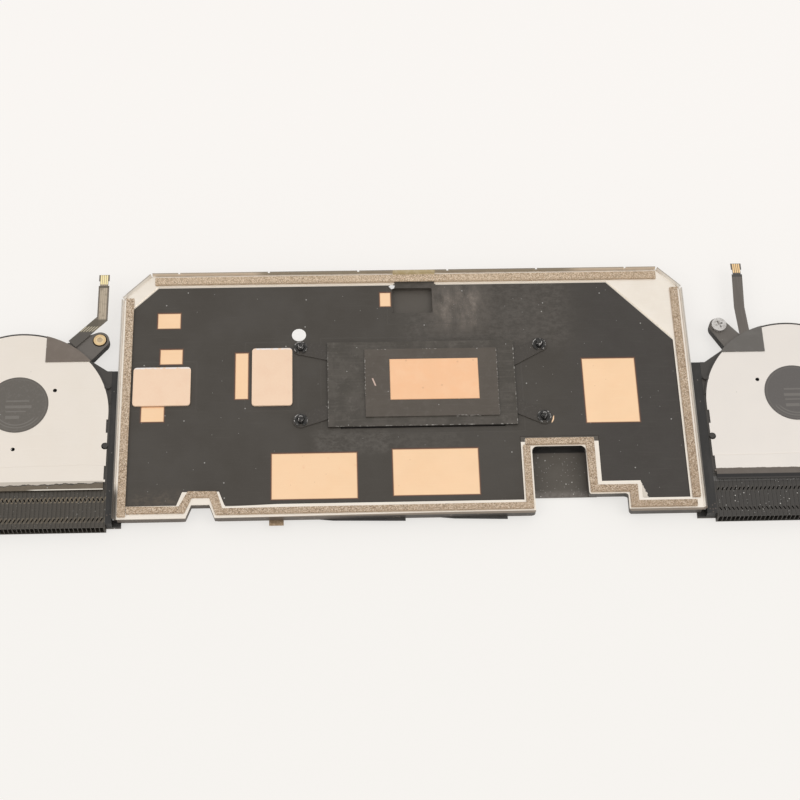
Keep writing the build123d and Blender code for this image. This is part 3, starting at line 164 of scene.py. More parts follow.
class Paint:
    """A Principled material whose patterns are laid out in millimetres of the plan."""

    def __init__(self, name, color, rough, metal=0.0, spec=0.5):
        self.material = bpy.data.materials.new(name)
        self.material.use_nodes = True
        self.tree = self.material.node_tree
        self.bsdf = self.tree.nodes["Principled BSDF"]
        self.base = (*color, 1)
        self.relief = None
        self.put("Base Color", self.base)
        self.put("Roughness", rough)
        self.put("Metallic", metal)
        self.put("Specular IOR Level", spec)
        place = self.node("ShaderNodeTexCoord", out="Object")
        self.plan = self.vector("MULTIPLY_ADD", place, (MM, MM, MM), (0, -FAN_LINE_Y, 0))
        split = self.tree.nodes.new("ShaderNodeSeparateXYZ")
        feed(self.tree, split.inputs[0], self.plan)
        self.x, self.y, self.z = split.outputs

    def put(self, name, value):
        """Feeds one input of the shader."""
        feed(self.tree, self.bsdf.inputs[name], value)

    def node(self, kind, values=(), out=0, **props):
        return add_node(self.tree, kind, values, out, **props)

    def vector(self, operation, *values, out=0):
        return self.node("ShaderNodeVectorMath", values, out, operation=operation)

    def calc(self, operation, *values):
        return self.node("ShaderNodeMath", values, operation=operation)

    def times(self, first, *others):
        """Where all of the masks are 1, or a mask weakened by a number."""
        for other in others:
            first = self.calc("MULTIPLY", first, other)
        return first

    def any_of(self, masks):
        """Where at least one of the masks is 1."""
        total = masks[0]
        for mask in masks[1:]:
            total = self.calc("MAXIMUM", total, mask)
        return total

    def outside(self, mask):
        """Where the mask is 0."""
        return self.calc("SUBTRACT", 1.0, mask)

    def plus(self, value, other):
        return self.calc("ADD", value, other)

    def wave(self, value, rate):
        """A sine with that many radians in a millimetre."""
        return self.calc("SINE", self.times(value, rate))

    def beyond(self, value, centre, reach):
        """How far a value lies beyond a reach on either side of a centre."""
        return self.calc("SUBTRACT", self.calc("ABSOLUTE", self.calc("SUBTRACT", value, centre)), reach)

    def radius(self, x, y):
        """The distance from a point that lies x and y away."""
        return self.calc("SQRT", self.plus(self.times(x, x), self.times(y, y)))

    def along(self, x, y):
        """How far out a point lies in the direction x, y of the plan."""
        return self.vector("DOT_PRODUCT", self.plan, (x, y, 0), out="Value")

    def ramp(self, value, low, high, start=0.0, end=1.0):
        """Goes smoothly from start to end while the value goes from low to high."""
        values = (value, low, high, start, end)
        return self.node("ShaderNodeMapRange", values, interpolation_type="SMOOTHSTEP")

    def within(self, value, low, high, soft=0.1):
        """A mask for values between low and high."""
        return self.times(self.ramp(value, low - soft, low), self.ramp(value, high + soft, high))

    def patch(self, x0, x1, y0, y1, soft=0.1):
        """A mask for a rectangle."""
        return self.times(self.within(self.x, x0, x1, soft), self.within(self.y, y0, y1, soft))

    def outline(self, x0, x1, y0, y1, width=0.35):
        """A mask for a thin line along the edge of a rectangle."""
        beside = self.beyond(self.x, (x0 + x1) / 2, (x1 - x0) / 2)
        behind = self.beyond(self.y, (y0 + y1) / 2, (y1 - y0) / 2)
        away = self.calc("ABSOLUTE", self.calc("MAXIMUM", beside, behind))
        return self.ramp(away, width, 0.0)

    def cut_corners(self, soft):
        """Masks for what lies outside the cut corners of the film."""
        return [self.ramp(self.along(*way), cut, cut + soft) for way, cut in CUT_CORNERS]

    def spread(self, stretch, shift):
        """The plan, stretched, then shifted unevenly along x and y."""
        return self.vector("MULTIPLY_ADD", self.plan, stretch, (shift, shift * 1.7, 0))

    def noise(self, size, detail=2.0, stretch=(1, 1, 1), shift=0.0, rough=0.55):
        """Cloudy values with lumps of that size in millimetres."""
        place = self.spread(stretch, shift * size)
        values = {"Vector": place, "Scale": 1 / size, "Detail": detail, "Roughness": rough}
        return self.node("ShaderNodeTexNoise", values)

    def specks(self, size, share, radius, shift=0.0):
        """Round specks: a share of the cells of a grid of that size holds one."""
        cells = self.tree.nodes.new("ShaderNodeTexVoronoi")
        cells.voronoi_dimensions = "2D"
        feed(self.tree, cells.inputs["Vector"], self.spread((1, 1, 1), shift * size))
        cells.inputs["Scale"].default_value = 1 / size
        red = self.node("ShaderNodeSeparateColor", (cells.outputs["Color"],))
        chosen = self.calc("GREATER_THAN", red, 1 - share)
        edge = radius / size
        near = self.ramp(cells.outputs["Distance"], edge, edge * SPECK_CORE)
        return self.times(chosen, near)

    def blend(self, mask, color, strength=1.0):
        """Lays a colour over what the material has so far, where the mask is 1."""
        if strength != 1.0:
            mask = self.times(mask, strength)
        layers = {MIX_FACTOR: mask, MIX_UNDER: self.base, MIX_OVER: (*color, 1)}
        self.base = self.node("ShaderNodeMix", layers, MIX_RESULT, data_type="RGBA")
        self.put("Base Color", self.base)

    def mottle(self, size, detail, low, high, color, strength=1.0, **pattern):
        """Lays a colour over the lumps of a noise, which begin at low and are full at high."""
        self.blend(self.ramp(self.noise(size, detail, **pattern), low, high), color, strength)

    def dust(self, size, share, radius, color, strength=1.0, shift=0.0):
        """Lays a colour over specks."""
        self.blend(self.specks(size, share, radius, shift), color, strength)

    def sheen(self, size, detail, low, high):
        """Lets the roughness wander between low and high."""
        self.put("Roughness", self.ramp(self.noise(size, detail), *NOISE_RANGE, low, high))

    def metal(self, mask, start, end):
        """Lets the metallic value go from start, where the mask is 0, to end, where it is 1."""
        self.put("Metallic", self.ramp(mask, 0.0, 1.0, start, end))

    def bump(self, height, depth):
        """Adds relief; the depth is in millimetres for a height of 1."""
        values = {"Strength": 1.0, "Distance": depth / MM, "Height": height, "Normal": self.relief}
        self.relief = self.node("ShaderNodeBump", values)
        self.put("Normal", self.relief)

    def uneven(self, size, depth, detail=2, **pattern):
        """Adds relief from a noise."""
        self.bump(self.noise(size, detail, **pattern), depth)


def dress(paint, *names):
    """Gives CAD nodes a paint."""
    for name in names:
        mesh = nodes[name].data
        mesh.materials.clear()
        mesh.materials.append(paint.material)


def both(name):
    """The names of a pair of nodes."""
    return f"{name}_left", f"{name}_right"


def soften(node, width, paint, moves=(), shift=(0, 0)):
    """Puts a copy with rounded edges in place of a soft solid.

    Each of the moves is x and y of a corner of the solid and how far it goes in x and y.
    The shift is for the whole copy.
    """
    mesh = nodes[node].data.copy()
    piece = bpy.data.objects.new(f"{node}_soft", mesh)
    scene.collection.objects.link(piece)
    mesh.materials.clear()
    mesh.materials.append(paint.material)
    bm = bmesh.new()
    bm.from_mesh(mesh)
    bmesh.ops.remove_doubles(bm, verts=bm.verts, dist=1e-6)
    bmesh.ops.dissolve_limit(bm, angle_limit=math.radians(1), verts=bm.verts, edges=bm.edges)
    bmesh.ops.translate(bm, verts=bm.verts, vec=Vector((*shift, 0)) / MM)
    for x, y, dx, dy in moves:
        corner = row(x, y, 0).xy
        for vert in bm.verts:
            if (vert.co.xy - corner).length < SAME_CORNER:
                vert.co += Vector((dx, dy, 0)) / MM
    bm.to_mesh(mesh)
    bm.free()
    for face in mesh.polygons:
        face.use_smooth = True
    bevel = piece.modifiers.new("round", "BEVEL")
    bevel.width = width / MM
    bevel.segments = 3
    bevel.limit_method = "ANGLE"
    bevel.angle_limit = math.radians(40)
    bevel.harden_normals = True
    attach(piece, "module")
    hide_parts(node)


def flake(name, points, low, thick, paint):
    """Adds a thin flat scrap with the given plan outline."""
    bm = bmesh.new()
    face = bm.faces.new([bm.verts.new(row(x, y, low)) for x, y in points])
    face.normal_update()
    if face.normal.z < 0:
        face.normal_flip()
    grown = bmesh.ops.extrude_face_region(bm, geom=[face])
    moved = [item for item in grown["geom"] if isinstance(item, bmesh.types.BMVert)]
    bmesh.ops.translate(bm, verts=moved, vec=(0, 0, thick / MM))
    bmesh.ops.recalc_face_normals(bm, faces=bm.faces)
    mesh = bpy.data.meshes.new(name)
    bm.to_mesh(mesh)
    bm.free()
    mesh.materials.append(paint.material)
    piece = bpy.data.objects.new(name, mesh)
    scene.collection.objects.link(piece)
    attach(piece, "module")


# Black insulating film: matt, with hazy smears and a painted sheen towards the far middle, dusty, with the
# edges of layers showing through
HAZE_AND_SHEEN = (13, 19, 29, 34)
DULL_AREAS = (
    ((4, 45, 22, 38), 9, (0.092, 0.080, 0.069), 0.7),
    ((-26, -8, -15.5, -12), 4, (0.105, 0.094, 0.082), 0.7),
    ((-8, 14, -15, -12.5), 3, (0.085, 0.075, 0.064), 0.6),
    ((-79, -68, -34, -31), 4, (0.100, 0.079, 0.060), 0.7),
)
LAYERS = (
    (-5.6, 15.2, 25.6, 41.0), (-83.4, -63.0, -2.6, 13.6),
    (-48.6, -32.8, -3.2, 19.8), (-26.0, 34.0, -11.2, 21.0),
)
film = Paint("film_black", (0.043, 0.036, 0.028), 0.52)
film.mottle(18, 3, 0.35, 0.7, (0.052, 0.045, 0.037))
film.blend(film.ramp(film.x, 40, 62), (0.033, 0.028, 0.024), 0.8)
# Pale smears and specks towards the far middle: partly haze on the film, partly a painted sheen
haze_and_sheen = film.patch(*HAZE_AND_SHEEN, 9)
smear = film.ramp(film.noise(2.6, 5, (1, 0.5, 1), rough=0.65), 0.2, 0.85)
film.blend(film.times(haze_and_sheen, smear), (0.28, 0.235, 0.20), 0.85)
film.blend(film.times(haze_and_sheen, film.specks(0.8, 0.2, 0.12, 1.1)), (0.45, 0.42, 0.38), 0.45)
grain = film.ramp(film.noise(1.3, 6, (0.7, 1, 1), rough=0.75), 0.36, 0.66)
for area, soft, color, strength in DULL_AREAS:
    film.blend(film.times(film.patch(*area, soft), grain), color, strength)
film.mottle(0.5, 2, 0.55, 0.8, (0.066, 0.058, 0.049), 0.35, stretch=(0.06, 1, 1))
film.mottle(0.16, 2, 0.5, 0.8, (0.075, 0.066, 0.056), 0.4)
film.dust(6, 0.12, 0.24, (0.42, 0.41, 0.39), 0.9)
film.dust(2.6, 0.06, 0.13, (0.30, 0.29, 0.28), 0.9, shift=3.3)
film.sheen(7, 4, 0.44, 0.62)
layers = film.any_of([film.outline(*layer) for layer in LAYERS])
film.blend(layers, (0.066, 0.058, 0.050), 0.4)
# Painted shade of the film's cut edge: a dark red line round each window
film.blend(film.any_of([film.outline(*window, 0.45) for window in WINDOWS]), (0.15, 0.065, 0.04), 0.8)
# Painted light: the pocket's floor paler than the film, against the shade in the pocket
lit_pocket_floor = film.ramp(film.z, 3.4, 3.1)
film.blend(lit_pocket_floor, (0.085, 0.074, 0.062))

# Where the film ends short of its solid, and where it is torn at the step, it is painted pale like the frame
EDGE_SOFT = 0.08
TEAR_AREA = (66.6, 70.5, -33.6, -28.4)
TEAR_WAY = (0.936, 0.351)
tab = film.within(film.x, *FILM_TAB)
far_edge = film.times(film.ramp(film.y, FILM_FAR, FILM_FAR + EDGE_SOFT), film.outside(tab))
tear_line = film.plus(film.along(*TEAR_WAY), film.times(film.noise(0.9, 5), 1.4))
torn = film.times(film.ramp(tear_line, 53.2, 53.1), film.patch(*TEAR_AREA))
film.blend(film.any_of([far_edge, *film.cut_corners(EDGE_SOFT), torn]), (0.70, 0.64, 0.56))
film.bump(layers, 0.05)
film.uneven(11, 0.05)
film.uneven(0.22, 0.006)
dress(film, "insulating_film")

# Film over the stage round the processor contact: scuffed along its edges, with painted glints there, and one
# slanted pale mark
UPPER_STEP = (-12.8, 26.7, -6.2, 16.4)
SCUFFED_AND_GLINTING_EDGES = (
    (-12.95, -12.7, 0.0, 13.8), (26.6, 26.85, -6.0, 16.0), (-9.0, -4.8, 16.3, 16.55), (4.6, 8.8, 16.3, 16.55),
    (17.6, 21.2, 16.3, 16.55), (14, 22, -6.35, -6.1), (-23.5, 32, -9.2, -9.0), (-24.0, -23.8, -9, 19),
    (31.8, 32.0, -9, 19),
)
MARK_X, MARK_Y, MARK_SLANT = -10.2, 5.3, 0.35
stage = Paint("stage_film", (0.050, 0.043, 0.034), 0.5)
stage.mottle(6, 5, 0.4, 0.65, (0.076, 0.066, 0.055), rough=0.7)
stage.blend(stage.patch(*UPPER_STEP), (0.098, 0.079, 0.063), 0.6)
stage.mottle(0.45, 3, 0.5, 0.75, (0.098, 0.085, 0.073), 0.5, stretch=BRUSHED_X)
stage.mottle(1.4, 5, 0.55, 0.75, (0.120, 0.106, 0.092), 0.5)
# Pale dashes along the edges: scuffs, and painted glints on the edges of the steps
scuffs_and_glints = stage.any_of([stage.patch(*edge) for edge in SCUFFED_AND_GLINTING_EDGES])
broken = stage.ramp(stage.noise(0.7, 3, shift=2.0), 0.5, 0.68)
stage.blend(stage.times(scuffs_and_glints, broken), (0.45, 0.43, 0.40), 0.75)
slanted = stage.times(stage.calc("SUBTRACT", stage.y, MARK_Y), MARK_SLANT)
from_mark = stage.calc("ABSOLUTE", stage.plus(stage.calc("SUBTRACT", stage.x, MARK_X), slanted))
mark = stage.times(stage.ramp(from_mark, 0.32, 0.1), stage.within(stage.y, 4.2, 6.4, 0.3))
stage.blend(mark, (0.70, 0.52, 0.44), 0.9)
stage.dust(3, 0.07, 0.16, (0.45, 0.44, 0.42))
stage.sheen(5, 3, 0.42, 0.6)
stage.uneven(6, 0.03)
stage.uneven(0.25, 0.008)
dress(stage, "cpu_film")

# Spring arms: black coated steel
springs = Paint("spring_black", (0.044, 0.037, 0.030), 0.5)
springs.mottle(0.5, 3, 0.5, 0.75, (0.080, 0.071, 0.062), 0.6)
springs.dust(2.2, 0.08, 0.12, (0.38, 0.37, 0.35), 0.8)
springs.uneven(3, 0.02)
springs.uneven(0.2, 0.006)
dress(springs, *both("spring_arm"))

# Captive screws: black, with painted glints on the rims of the tips and rings, and the thread as relief
GLINT_RIMS = ((0.60, 0.76, 0.04), (1.86, 2.02, 0.05))
screws = Paint("screw_black", (0.022, 0.021, 0.020), 0.3, 0.4)
from_screw = screws.radius(screws.beyond(screws.x, *SCREWS_X), screws.beyond(screws.y, *SCREWS_Y))
rims = screws.any_of([screws.within(from_screw, *rim) for rim in GLINT_RIMS])
# Painted glints on the rims, broken up by a noise
painted_glints = screws.times(rims, screws.ramp(screws.noise(0.9, 2), 0.49, 0.6))
screws.blend(painted_glints, (0.66, 0.64, 0.62), 0.85)
screws.mottle(0.3, 3, 0.52, 0.7, (0.16, 0.152, 0.145), 0.7)
screws.bump(screws.wave(screws.z, THREAD_RATE), 0.05)
dress(screws, "captive_screws", "screw_rings")

# White dot stuck on the film
dot = Paint("dot_white", (0.93, 0.92, 0.90), 0.6)
dot.mottle(1.2, 4, 0.4, 0.7, (0.90, 0.885, 0.87), 0.8)
dot.uneven(0.3, 0.01)
dress(dot, "white_dot")

# Spreader plate: rolled copper in the windows, dark under the film, pale in the gaps beside the frame
STAIN = (-40, -16, -24, -17.5)
BESIDE_SCREW = (41.5, 43.2, -10, -5)
STEP_GAP = (66.2, 67.2, -33.6, -28.4)
GAP_SOFT = 0.2
sheet = Paint("copper_sheet", (0.93, 0.66, 0.43), 0.38, 1.0)
sheet.mottle(7, 4, 0.35, 0.75, (0.905, 0.63, 0.40), 0.7)
sheet.mottle(0.25, 3, 0.5, 0.8, (0.95, 0.705, 0.475), 0.4, stretch=(0.03, 1, 1))
sheet.dust(3.5, 0.08, 0.14, (0.62, 0.38, 0.22), 0.8)
stain = sheet.times(sheet.ramp(sheet.noise(2.5, 5), 0.62, 0.72), sheet.patch(*STAIN, 2))
sheet.blend(stain, (0.88, 0.55, 0.34), 0.5)
# Painted shade of the film's cut edge: darker copper round each window
sheet.blend(sheet.any_of([sheet.outline(*window, 0.3) for window in WINDOWS]), (0.40, 0.20, 0.11), 0.75)
open_air = sheet.any_of([sheet.patch(*area) for area in (*WINDOWS, BESIDE_SCREW)])
sheet.blend(sheet.outside(open_air), (0.05, 0.04, 0.035))
far_gap = sheet.ramp(sheet.y, FILM_FAR, FILM_FAR + GAP_SOFT)
gaps = sheet.any_of([far_gap, *sheet.cut_corners(GAP_SOFT), sheet.patch(*STEP_GAP)])
upper_side = sheet.ramp(sheet.z, 4.0, 4.1)
sheet.blend(sheet.times(gaps, upper_side), (1.0, 0.95, 0.88))
sheet.sheen(4, 4, 0.33, 0.46)
sheet.uneven(0.3, 0.004, stretch=(0.04, 1, 1))
sheet.uneven(6, 0.02)
dress(sheet, "spreader_plate")

# Processor contact: milled copper, bare on top and black on its sides
contact = Paint("copper_contact", (0.91, 0.565, 0.345), 0.4, 1.0)
contact.mottle(5, 4, 0.4, 0.75, (0.93, 0.60, 0.38), 0.8)
contact.dust(5, 0.14, 0.4, (0.70, 0.42, 0.27), 0.5)
contact.sheen(3, 4, 0.34, 0.5)
bare = contact.ramp(contact.z, CONTACT_TOP - 0.12, CONTACT_TOP - 0.06)
contact.blend(contact.outside(bare), (0.030, 0.027, 0.025))
contact.metal(bare, 0.0, 1.0)
contact.uneven(0.2, 0.004, stretch=BRUSHED_Y)
dress(contact, "cold_plate")

# Heat pipes: drawn copper
pipe = Paint("copper_pipe", (0.72, 0.40, 0.24), 0.36, 1.0)
pipe.mottle(6, 4, 0.4, 0.7, (0.50, 0.26, 0.15), 0.7)
pipe.sheen(3, 4, 0.28, 0.5)
pipe.uneven(0.3, 0.006, stretch=(0.06, 1, 1))
dress(pipe, *both("heat_pipe"))

# Shield frame: pale tinned sheet
tin = Paint("frame_tin", (0.87, 0.81, 0.73), 0.36, 1.0)
tin.mottle(9, 4, 0.35, 0.75, (0.80, 0.735, 0.65), 0.7)
tin.mottle(0.3, 3, 0.5, 0.8, (0.90, 0.85, 0.78), 0.5, stretch=BRUSHED_X)

# Lips of the frame: brown on the far side with painted dark reflections in two stretches there, dark along
# their tops, and bright at the ends with painted shade up towards their tops
DARK_REFLECTION_STRETCHES = ((-42, -5, 5), (11, 48, 7))
lips = tin.ramp(tin.z, 4.56, 4.66)
tin.blend(lips, (0.74, 0.685, 0.61), 0.9)
far_lip = tin.times(lips, tin.ramp(tin.y, 43.45, 43.6))
tin.blend(far_lip, (0.62, 0.495, 0.36), 0.8)
# Painted reflection: two darker stretches along the far lip
painted_reflection = tin.any_of([tin.within(tin.x, *stretch) for stretch in DARK_REFLECTION_STRETCHES])
tin.blend(tin.times(far_lip, painted_reflection), (0.27, 0.23, 0.17), 0.85)
lip_tops = tin.ramp(tin.z, 5.42, 5.52)
tin.blend(tin.times(lips, lip_tops), (0.20, 0.18, 0.155), 0.6)
ends = tin.any_of([tin.ramp(tin.x, -84.6, -85.0), tin.ramp(tin.x, 83.5, 83.9)])
end_lips = tin.times(lips, ends)
tin.blend(end_lips, (1.0, 0.96, 0.89), 0.95)
# Painted shade on the end lips, growing towards their tops and towards the near side
shade = tin.times(tin.ramp(tin.z, 4.95, 5.55), tin.ramp(tin.y, 30, -25, 0.4, 1.0))
tin.blend(tin.times(end_lips, shade), (0.050, 0.040, 0.032), 0.9)
near_left_end = tin.times(tin.ramp(tin.x, -84.7, -85.1), tin.ramp(tin.y, -25.5, -30.5))
tin.blend(near_left_end, (0.070, 0.060, 0.050), 0.88)

# Near rim of the frame: the shaded fold, and the flange where the film laps over it
LAPPED_RIM = (-53.8, -30, -34.2, -33.2)
LAPPED_NOTCH = ((32, 55.9, -14.0, -12.8), (32, 33.6, -14.85, -12.8), (54.15, 55.9, -14.85, -12.8))
fold_line = tin.plus(tin.y, tin.ramp(tin.x, -60, 25, 0.0, -0.6))
tin.blend(tin.ramp(fold_line, -37.4, -37.55), (0.21, 0.17, 0.135), 0.9)
lap_line = tin.calc("SUBTRACT", tin.y, tin.ramp(tin.x, -54, -30, -33.95, -33.3))
lapped = tin.times(tin.ramp(lap_line, 0.0, 0.1), tin.patch(*LAPPED_RIM, 0.2))
tin.blend(tin.any_of([lapped, *(tin.patch(*area) for area in LAPPED_NOTCH)]), (0.080, 0.072, 0.063), 0.95)

# Skirts of the frame: dark, browner on the left and blotched
skirt = tin.ramp(tin.z, 4.24, 4.16)
tin.blend(skirt, (0.055, 0.050, 0.046), 0.95)
tin.blend(tin.times(skirt, tin.ramp(tin.x, -14, -26)), (0.135, 0.112, 0.094), 0.8)
tin.blend(tin.times(skirt, tin.ramp(tin.noise(1.2, 4), 0.6, 0.75)), (0.30, 0.25, 0.20), 0.6)
tin.metal(tin.any_of([skirt, tin.times(lips, 0.8)]), 1.0, 0.1)
tin.sheen(4, 4, 0.3, 0.46)
tin.uneven(5, 0.02)
tin.uneven(0.3, 0.003, stretch=BRUSHED_X)
dress(tin, "shield_frame")

# Tray: black, dusty and paler at the near side of the notch, with painted light near its far wall, dark walls
# and a painted shadow in a dark band along the far side
FAR_SHADOW_BAND = (34, 54, -16.75, -14)
tray = Paint("tray_black", (0.078, 0.067, 0.054), 0.45)
tray.mottle(8, 4, 0.4, 0.7, (0.090, 0.079, 0.065), 0.8)
tray.mottle(0.2, 2, 0.55, 0.8, (0.14, 0.13, 0.115), 0.6)
# Painted light: the floor paler near the far wall of the notch, against its shade
tray.blend(tray.ramp(tray.y, -20.5, -17.0), (0.122, 0.108, 0.092), 0.85)
near_side = tray.times(tray.ramp(tray.y, -28.4, -30.6), tray.ramp(tray.noise(0.9, 4), 0.3, 0.6, 0.4, 1.0))
tray.blend(near_side, (0.165, 0.146, 0.13))
tray.dust(0.7, 0.14, 0.11, (0.46, 0.45, 0.43), 0.8)
tray.dust(1.9, 0.12, 0.19, (0.70, 0.68, 0.64), 0.85, shift=2.1)
# Dark walls, and a painted shadow as a dark band on the floor along the far wall
walls_and_far_shadow = tray.any_of([tray.ramp(tray.z, 0.62, 0.75), tray.patch(*FAR_SHADOW_BAND)])
tray.blend(walls_and_far_shadow, (0.018, 0.017, 0.016), 0.95)
tray.sheen(5, 4, 0.38, 0.58)
tray.uneven(0.25, 0.01)
dress(tray, "back_tray")

# Side rails: black, with brown specks on the feet at their near ends
rail = Paint("rail_black", (0.014, 0.013, 0.012), 0.42)
rail.mottle(2, 4, 0.45, 0.75, (0.036, 0.033, 0.031), 0.8, stretch=(1, 0.2, 1))
rail.dust(3, 0.12, 0.14, (0.40, 0.37, 0.33), 0.8)
feet = rail.times(rail.within(rail.y, -38.6, -35.6, 0.3), rail.specks(0.8, 0.3, 0.24, 1.3))
rail.blend(feet, (0.26, 0.20, 0.16), 0.4)
rail.uneven(0.3, 0.01)
dress(rail, *both("side_rail"))

# Blower housings: black plastic, greyer on the far ears, with painted shade everywhere short of them, darker
# on the raised rim and below the edge
plastic = Paint("housing_black", (0.122, 0.109, 0.097), 0.46)
plastic.mottle(4, 4, 0.4, 0.75, (0.145, 0.132, 0.118), 0.8)
plastic.dust(4, 0.10, 0.13, (0.35, 0.34, 0.33), 0.7)
# Painted shade: the housing darker everywhere short of the far ears, which shades the gussets
plastic.blend(plastic.ramp(plastic.y, 15.6, 14.4), (0.036, 0.032, 0.028), 0.9)
plastic.blend(plastic.ramp(plastic.z, 4.25, 4.35), (0.036, 0.032, 0.028), 0.9)
plastic.blend(plastic.ramp(plastic.z, 4.05, 3.9), (0.018, 0.017, 0.016), 0.9)
plastic.sheen(3, 3, 0.4, 0.56)
plastic.uneven(0.16, 0.012)
dress(plastic, *both("fan_housing"))

# Blower covers on the underside
cover = Paint("cover_black", (0.024, 0.023, 0.022), 0.46)
cover.mottle(5, 4, 0.4, 0.75, (0.036, 0.034, 0.033), 0.8)
cover.dust(4, 0.10, 0.13, (0.30, 0.29, 0.28), 0.7)
cover.sheen(3, 3, 0.4, 0.56)
cover.uneven(0.16, 0.012)
dress(cover, *both("fan_cover"))

# Impellers
blades = Paint("impeller_black", (0.020, 0.020, 0.021), 0.4)
blades.mottle(1.5, 4, 0.45, 0.75, (0.045, 0.044, 0.043), 0.7)
blades.uneven(0.2, 0.008)
dress(blades, *both("impeller"))

# Base plates: stamped steel with a faint crease, its line darkened as painted shade, and a dark ragged edge
# of tape on the right one
CREASE_Y = -19.6
plate = Paint("plate_steel", (0.805, 0.748, 0.682), 0.42, 1.0)
plate.mottle(16, 4, 0.35, 0.75, (0.785, 0.725, 0.652), 0.8)
plate.mottle(0.3, 3, 0.5, 0.8, (0.83, 0.775, 0.705), 0.4, stretch=(0.04, 1, 1))
plate.blend(plate.ramp(plate.x, -60, 60), (0.775, 0.735, 0.695), 0.9)
plate.dust(7, 0.05, 0.2, (0.45, 0.42, 0.38), 0.5)
from_crease = plate.calc("ABSOLUTE", plate.plus(plate.y, plate.plus(-CREASE_Y, plate.noise(9, 1))))
crease_and_shade = plate.ramp(from_crease, 0.35, 0.0)
# Painted shade along the crease
plate.blend(crease_and_shade, (0.72, 0.66, 0.59), 0.35)
ragged_y = plate.plus(plate.y, plate.times(plate.noise(1.8, 4), 0.6))
taped = plate.times(plate.ramp(ragged_y, -24.1, -24.25), plate.ramp(plate.x, 20, 40))
plate.blend(taped, (0.156, 0.136, 0.119))
plate.sheen(6, 4, 0.37, 0.5)
plate.uneven(14, 0.05, 1)
plate.uneven(0.3, 0.003, stretch=BRUSHED_X)
plate.bump(crease_and_shade, -0.03)
dress(plate, *both("base_plate"))

# Hub labels: dark grey, with faint plain bars and arcs in place of print, placed from the blower axis
LABEL_BARS = (
    (-3.2, 3.4, 1.0, 1.4), (-3.4, 4.2, -1.1, -0.3), (-3.2, 2.6, -2.4, -2.1), (-3.2, 0.8, -4.6, -3.7),
)
LABEL_ARCS = ((6.6, 6.85), (7.5, 7.75))
label = Paint("hub_label", (0.118, 0.106, 0.092), 0.5)
label.mottle(0.7, 4, 0.5, 0.66, (0.142, 0.129, 0.115), 0.8, rough=0.7)
label.dust(5, 0.10, 0.16, (0.5, 0.5, 0.48), 0.7)
label.blend(label.ramp(label.x, -10, 10), (0.104, 0.096, 0.094), 0.7)
outward = label.beyond(label.x, 0.0, FAN_X)
from_axis = label.radius(outward, label.y)
sideways = label.times(outward, label.calc("SIGN", label.x))
marks = []
for x0, x1, y0, y1 in LABEL_BARS:
    marks.append(label.times(label.within(sideways, x0, x1), label.within(label.y, y0, y1)))
lower_part = label.ramp(label.y, -3.6, -5.0)
for inner, outer in LABEL_ARCS:
    marks.append(label.times(lower_part, label.within(from_axis, inner, outer, 0.08)))
label.blend(label.any_of(marks), (0.235, 0.22, 0.20), 0.42)
label.blend(label.within(from_axis, 8.4, 8.5, 0.08), (0.17, 0.155, 0.135), 0.5)
label.blend(label.ramp(from_axis, 8.9, 9.1), (0.06, 0.052, 0.045), 0.7)
label.uneven(0.2, 0.006)
dress(label, *both("hub_label"))


def tape(name, color, light):
    """Woven tape in two tones, with lint on it."""
    made = Paint(name, color, 0.58)
    made.mottle(3, 4, 0.4, 0.75, light, 0.8)
    made.dust(3, 0.10, 0.2, (0.55, 0.54, 0.52), 0.7)
    made.bump(made.times(made.wave(made.x, WEAVE_RATE), made.wave(made.y, WEAVE_RATE)), 0.006)
    made.uneven(2.5, 0.03)
    return made


# Tapes at the cable corners and along the frame
dress(tape("tape_grey", (0.163, 0.133, 0.110), (0.192, 0.160, 0.135)), "corner_tape_left")
dress(tape("tape_dark", (0.122, 0.113, 0.103), (0.145, 0.136, 0.125)), "corner_tape_right")
dress(tape("edge_tape", (0.045, 0.042, 0.040), (0.07, 0.066, 0.062)), "edge_tapes")

# Tape over the left outlet: a ragged far edge, which bares the plate, and a pale line on its near part
TORN_SLOPE, TORN_Y = -0.0205, -1.74
left_seal = tape("seal_grey", (0.128, 0.102, 0.072), (0.165, 0.134, 0.099))
near_line = left_seal.within(left_seal.y, -27.95, -27.7, 0.05)
pale_line = left_seal.times(near_line, left_seal.ramp(left_seal.x, -111.5, -108))
left_seal.blend(pale_line, (0.78, 0.73, 0.65))
torn_line = left_seal.plus(left_seal.times(left_seal.x, TORN_SLOPE), TORN_Y)
torn_waves = left_seal.times(left_seal.noise(2.2, 5), 1.6)
from_torn = left_seal.plus(left_seal.plus(left_seal.y, torn_line), torn_waves)
left_seal.blend(left_seal.within(from_torn, -25.1, -24.9, 0.08), (0.030, 0.027, 0.024), 0.8)
left_seal.blend(left_seal.ramp(from_torn, -24.9, -24.8), (0.60, 0.545, 0.475), 0.9)
dress(left_seal, "outlet_tape_left")

# Tape over the right outlet: painted shade as a black band across it, and dark like the fins in front of that
right_seal = tape("seal_dark", (0.122, 0.103, 0.088), (0.145, 0.124, 0.107))
# Painted shade: a black band across the tape
right_seal.blend(right_seal.ramp(right_seal.y, -26.3, -26.55), (0.006, 0.005, 0.005))
right_seal.blend(right_seal.ramp(right_seal.y, -27.45, -27.6), (0.034, 0.031, 0.028))
dress(right_seal, "outlet_tape_right")

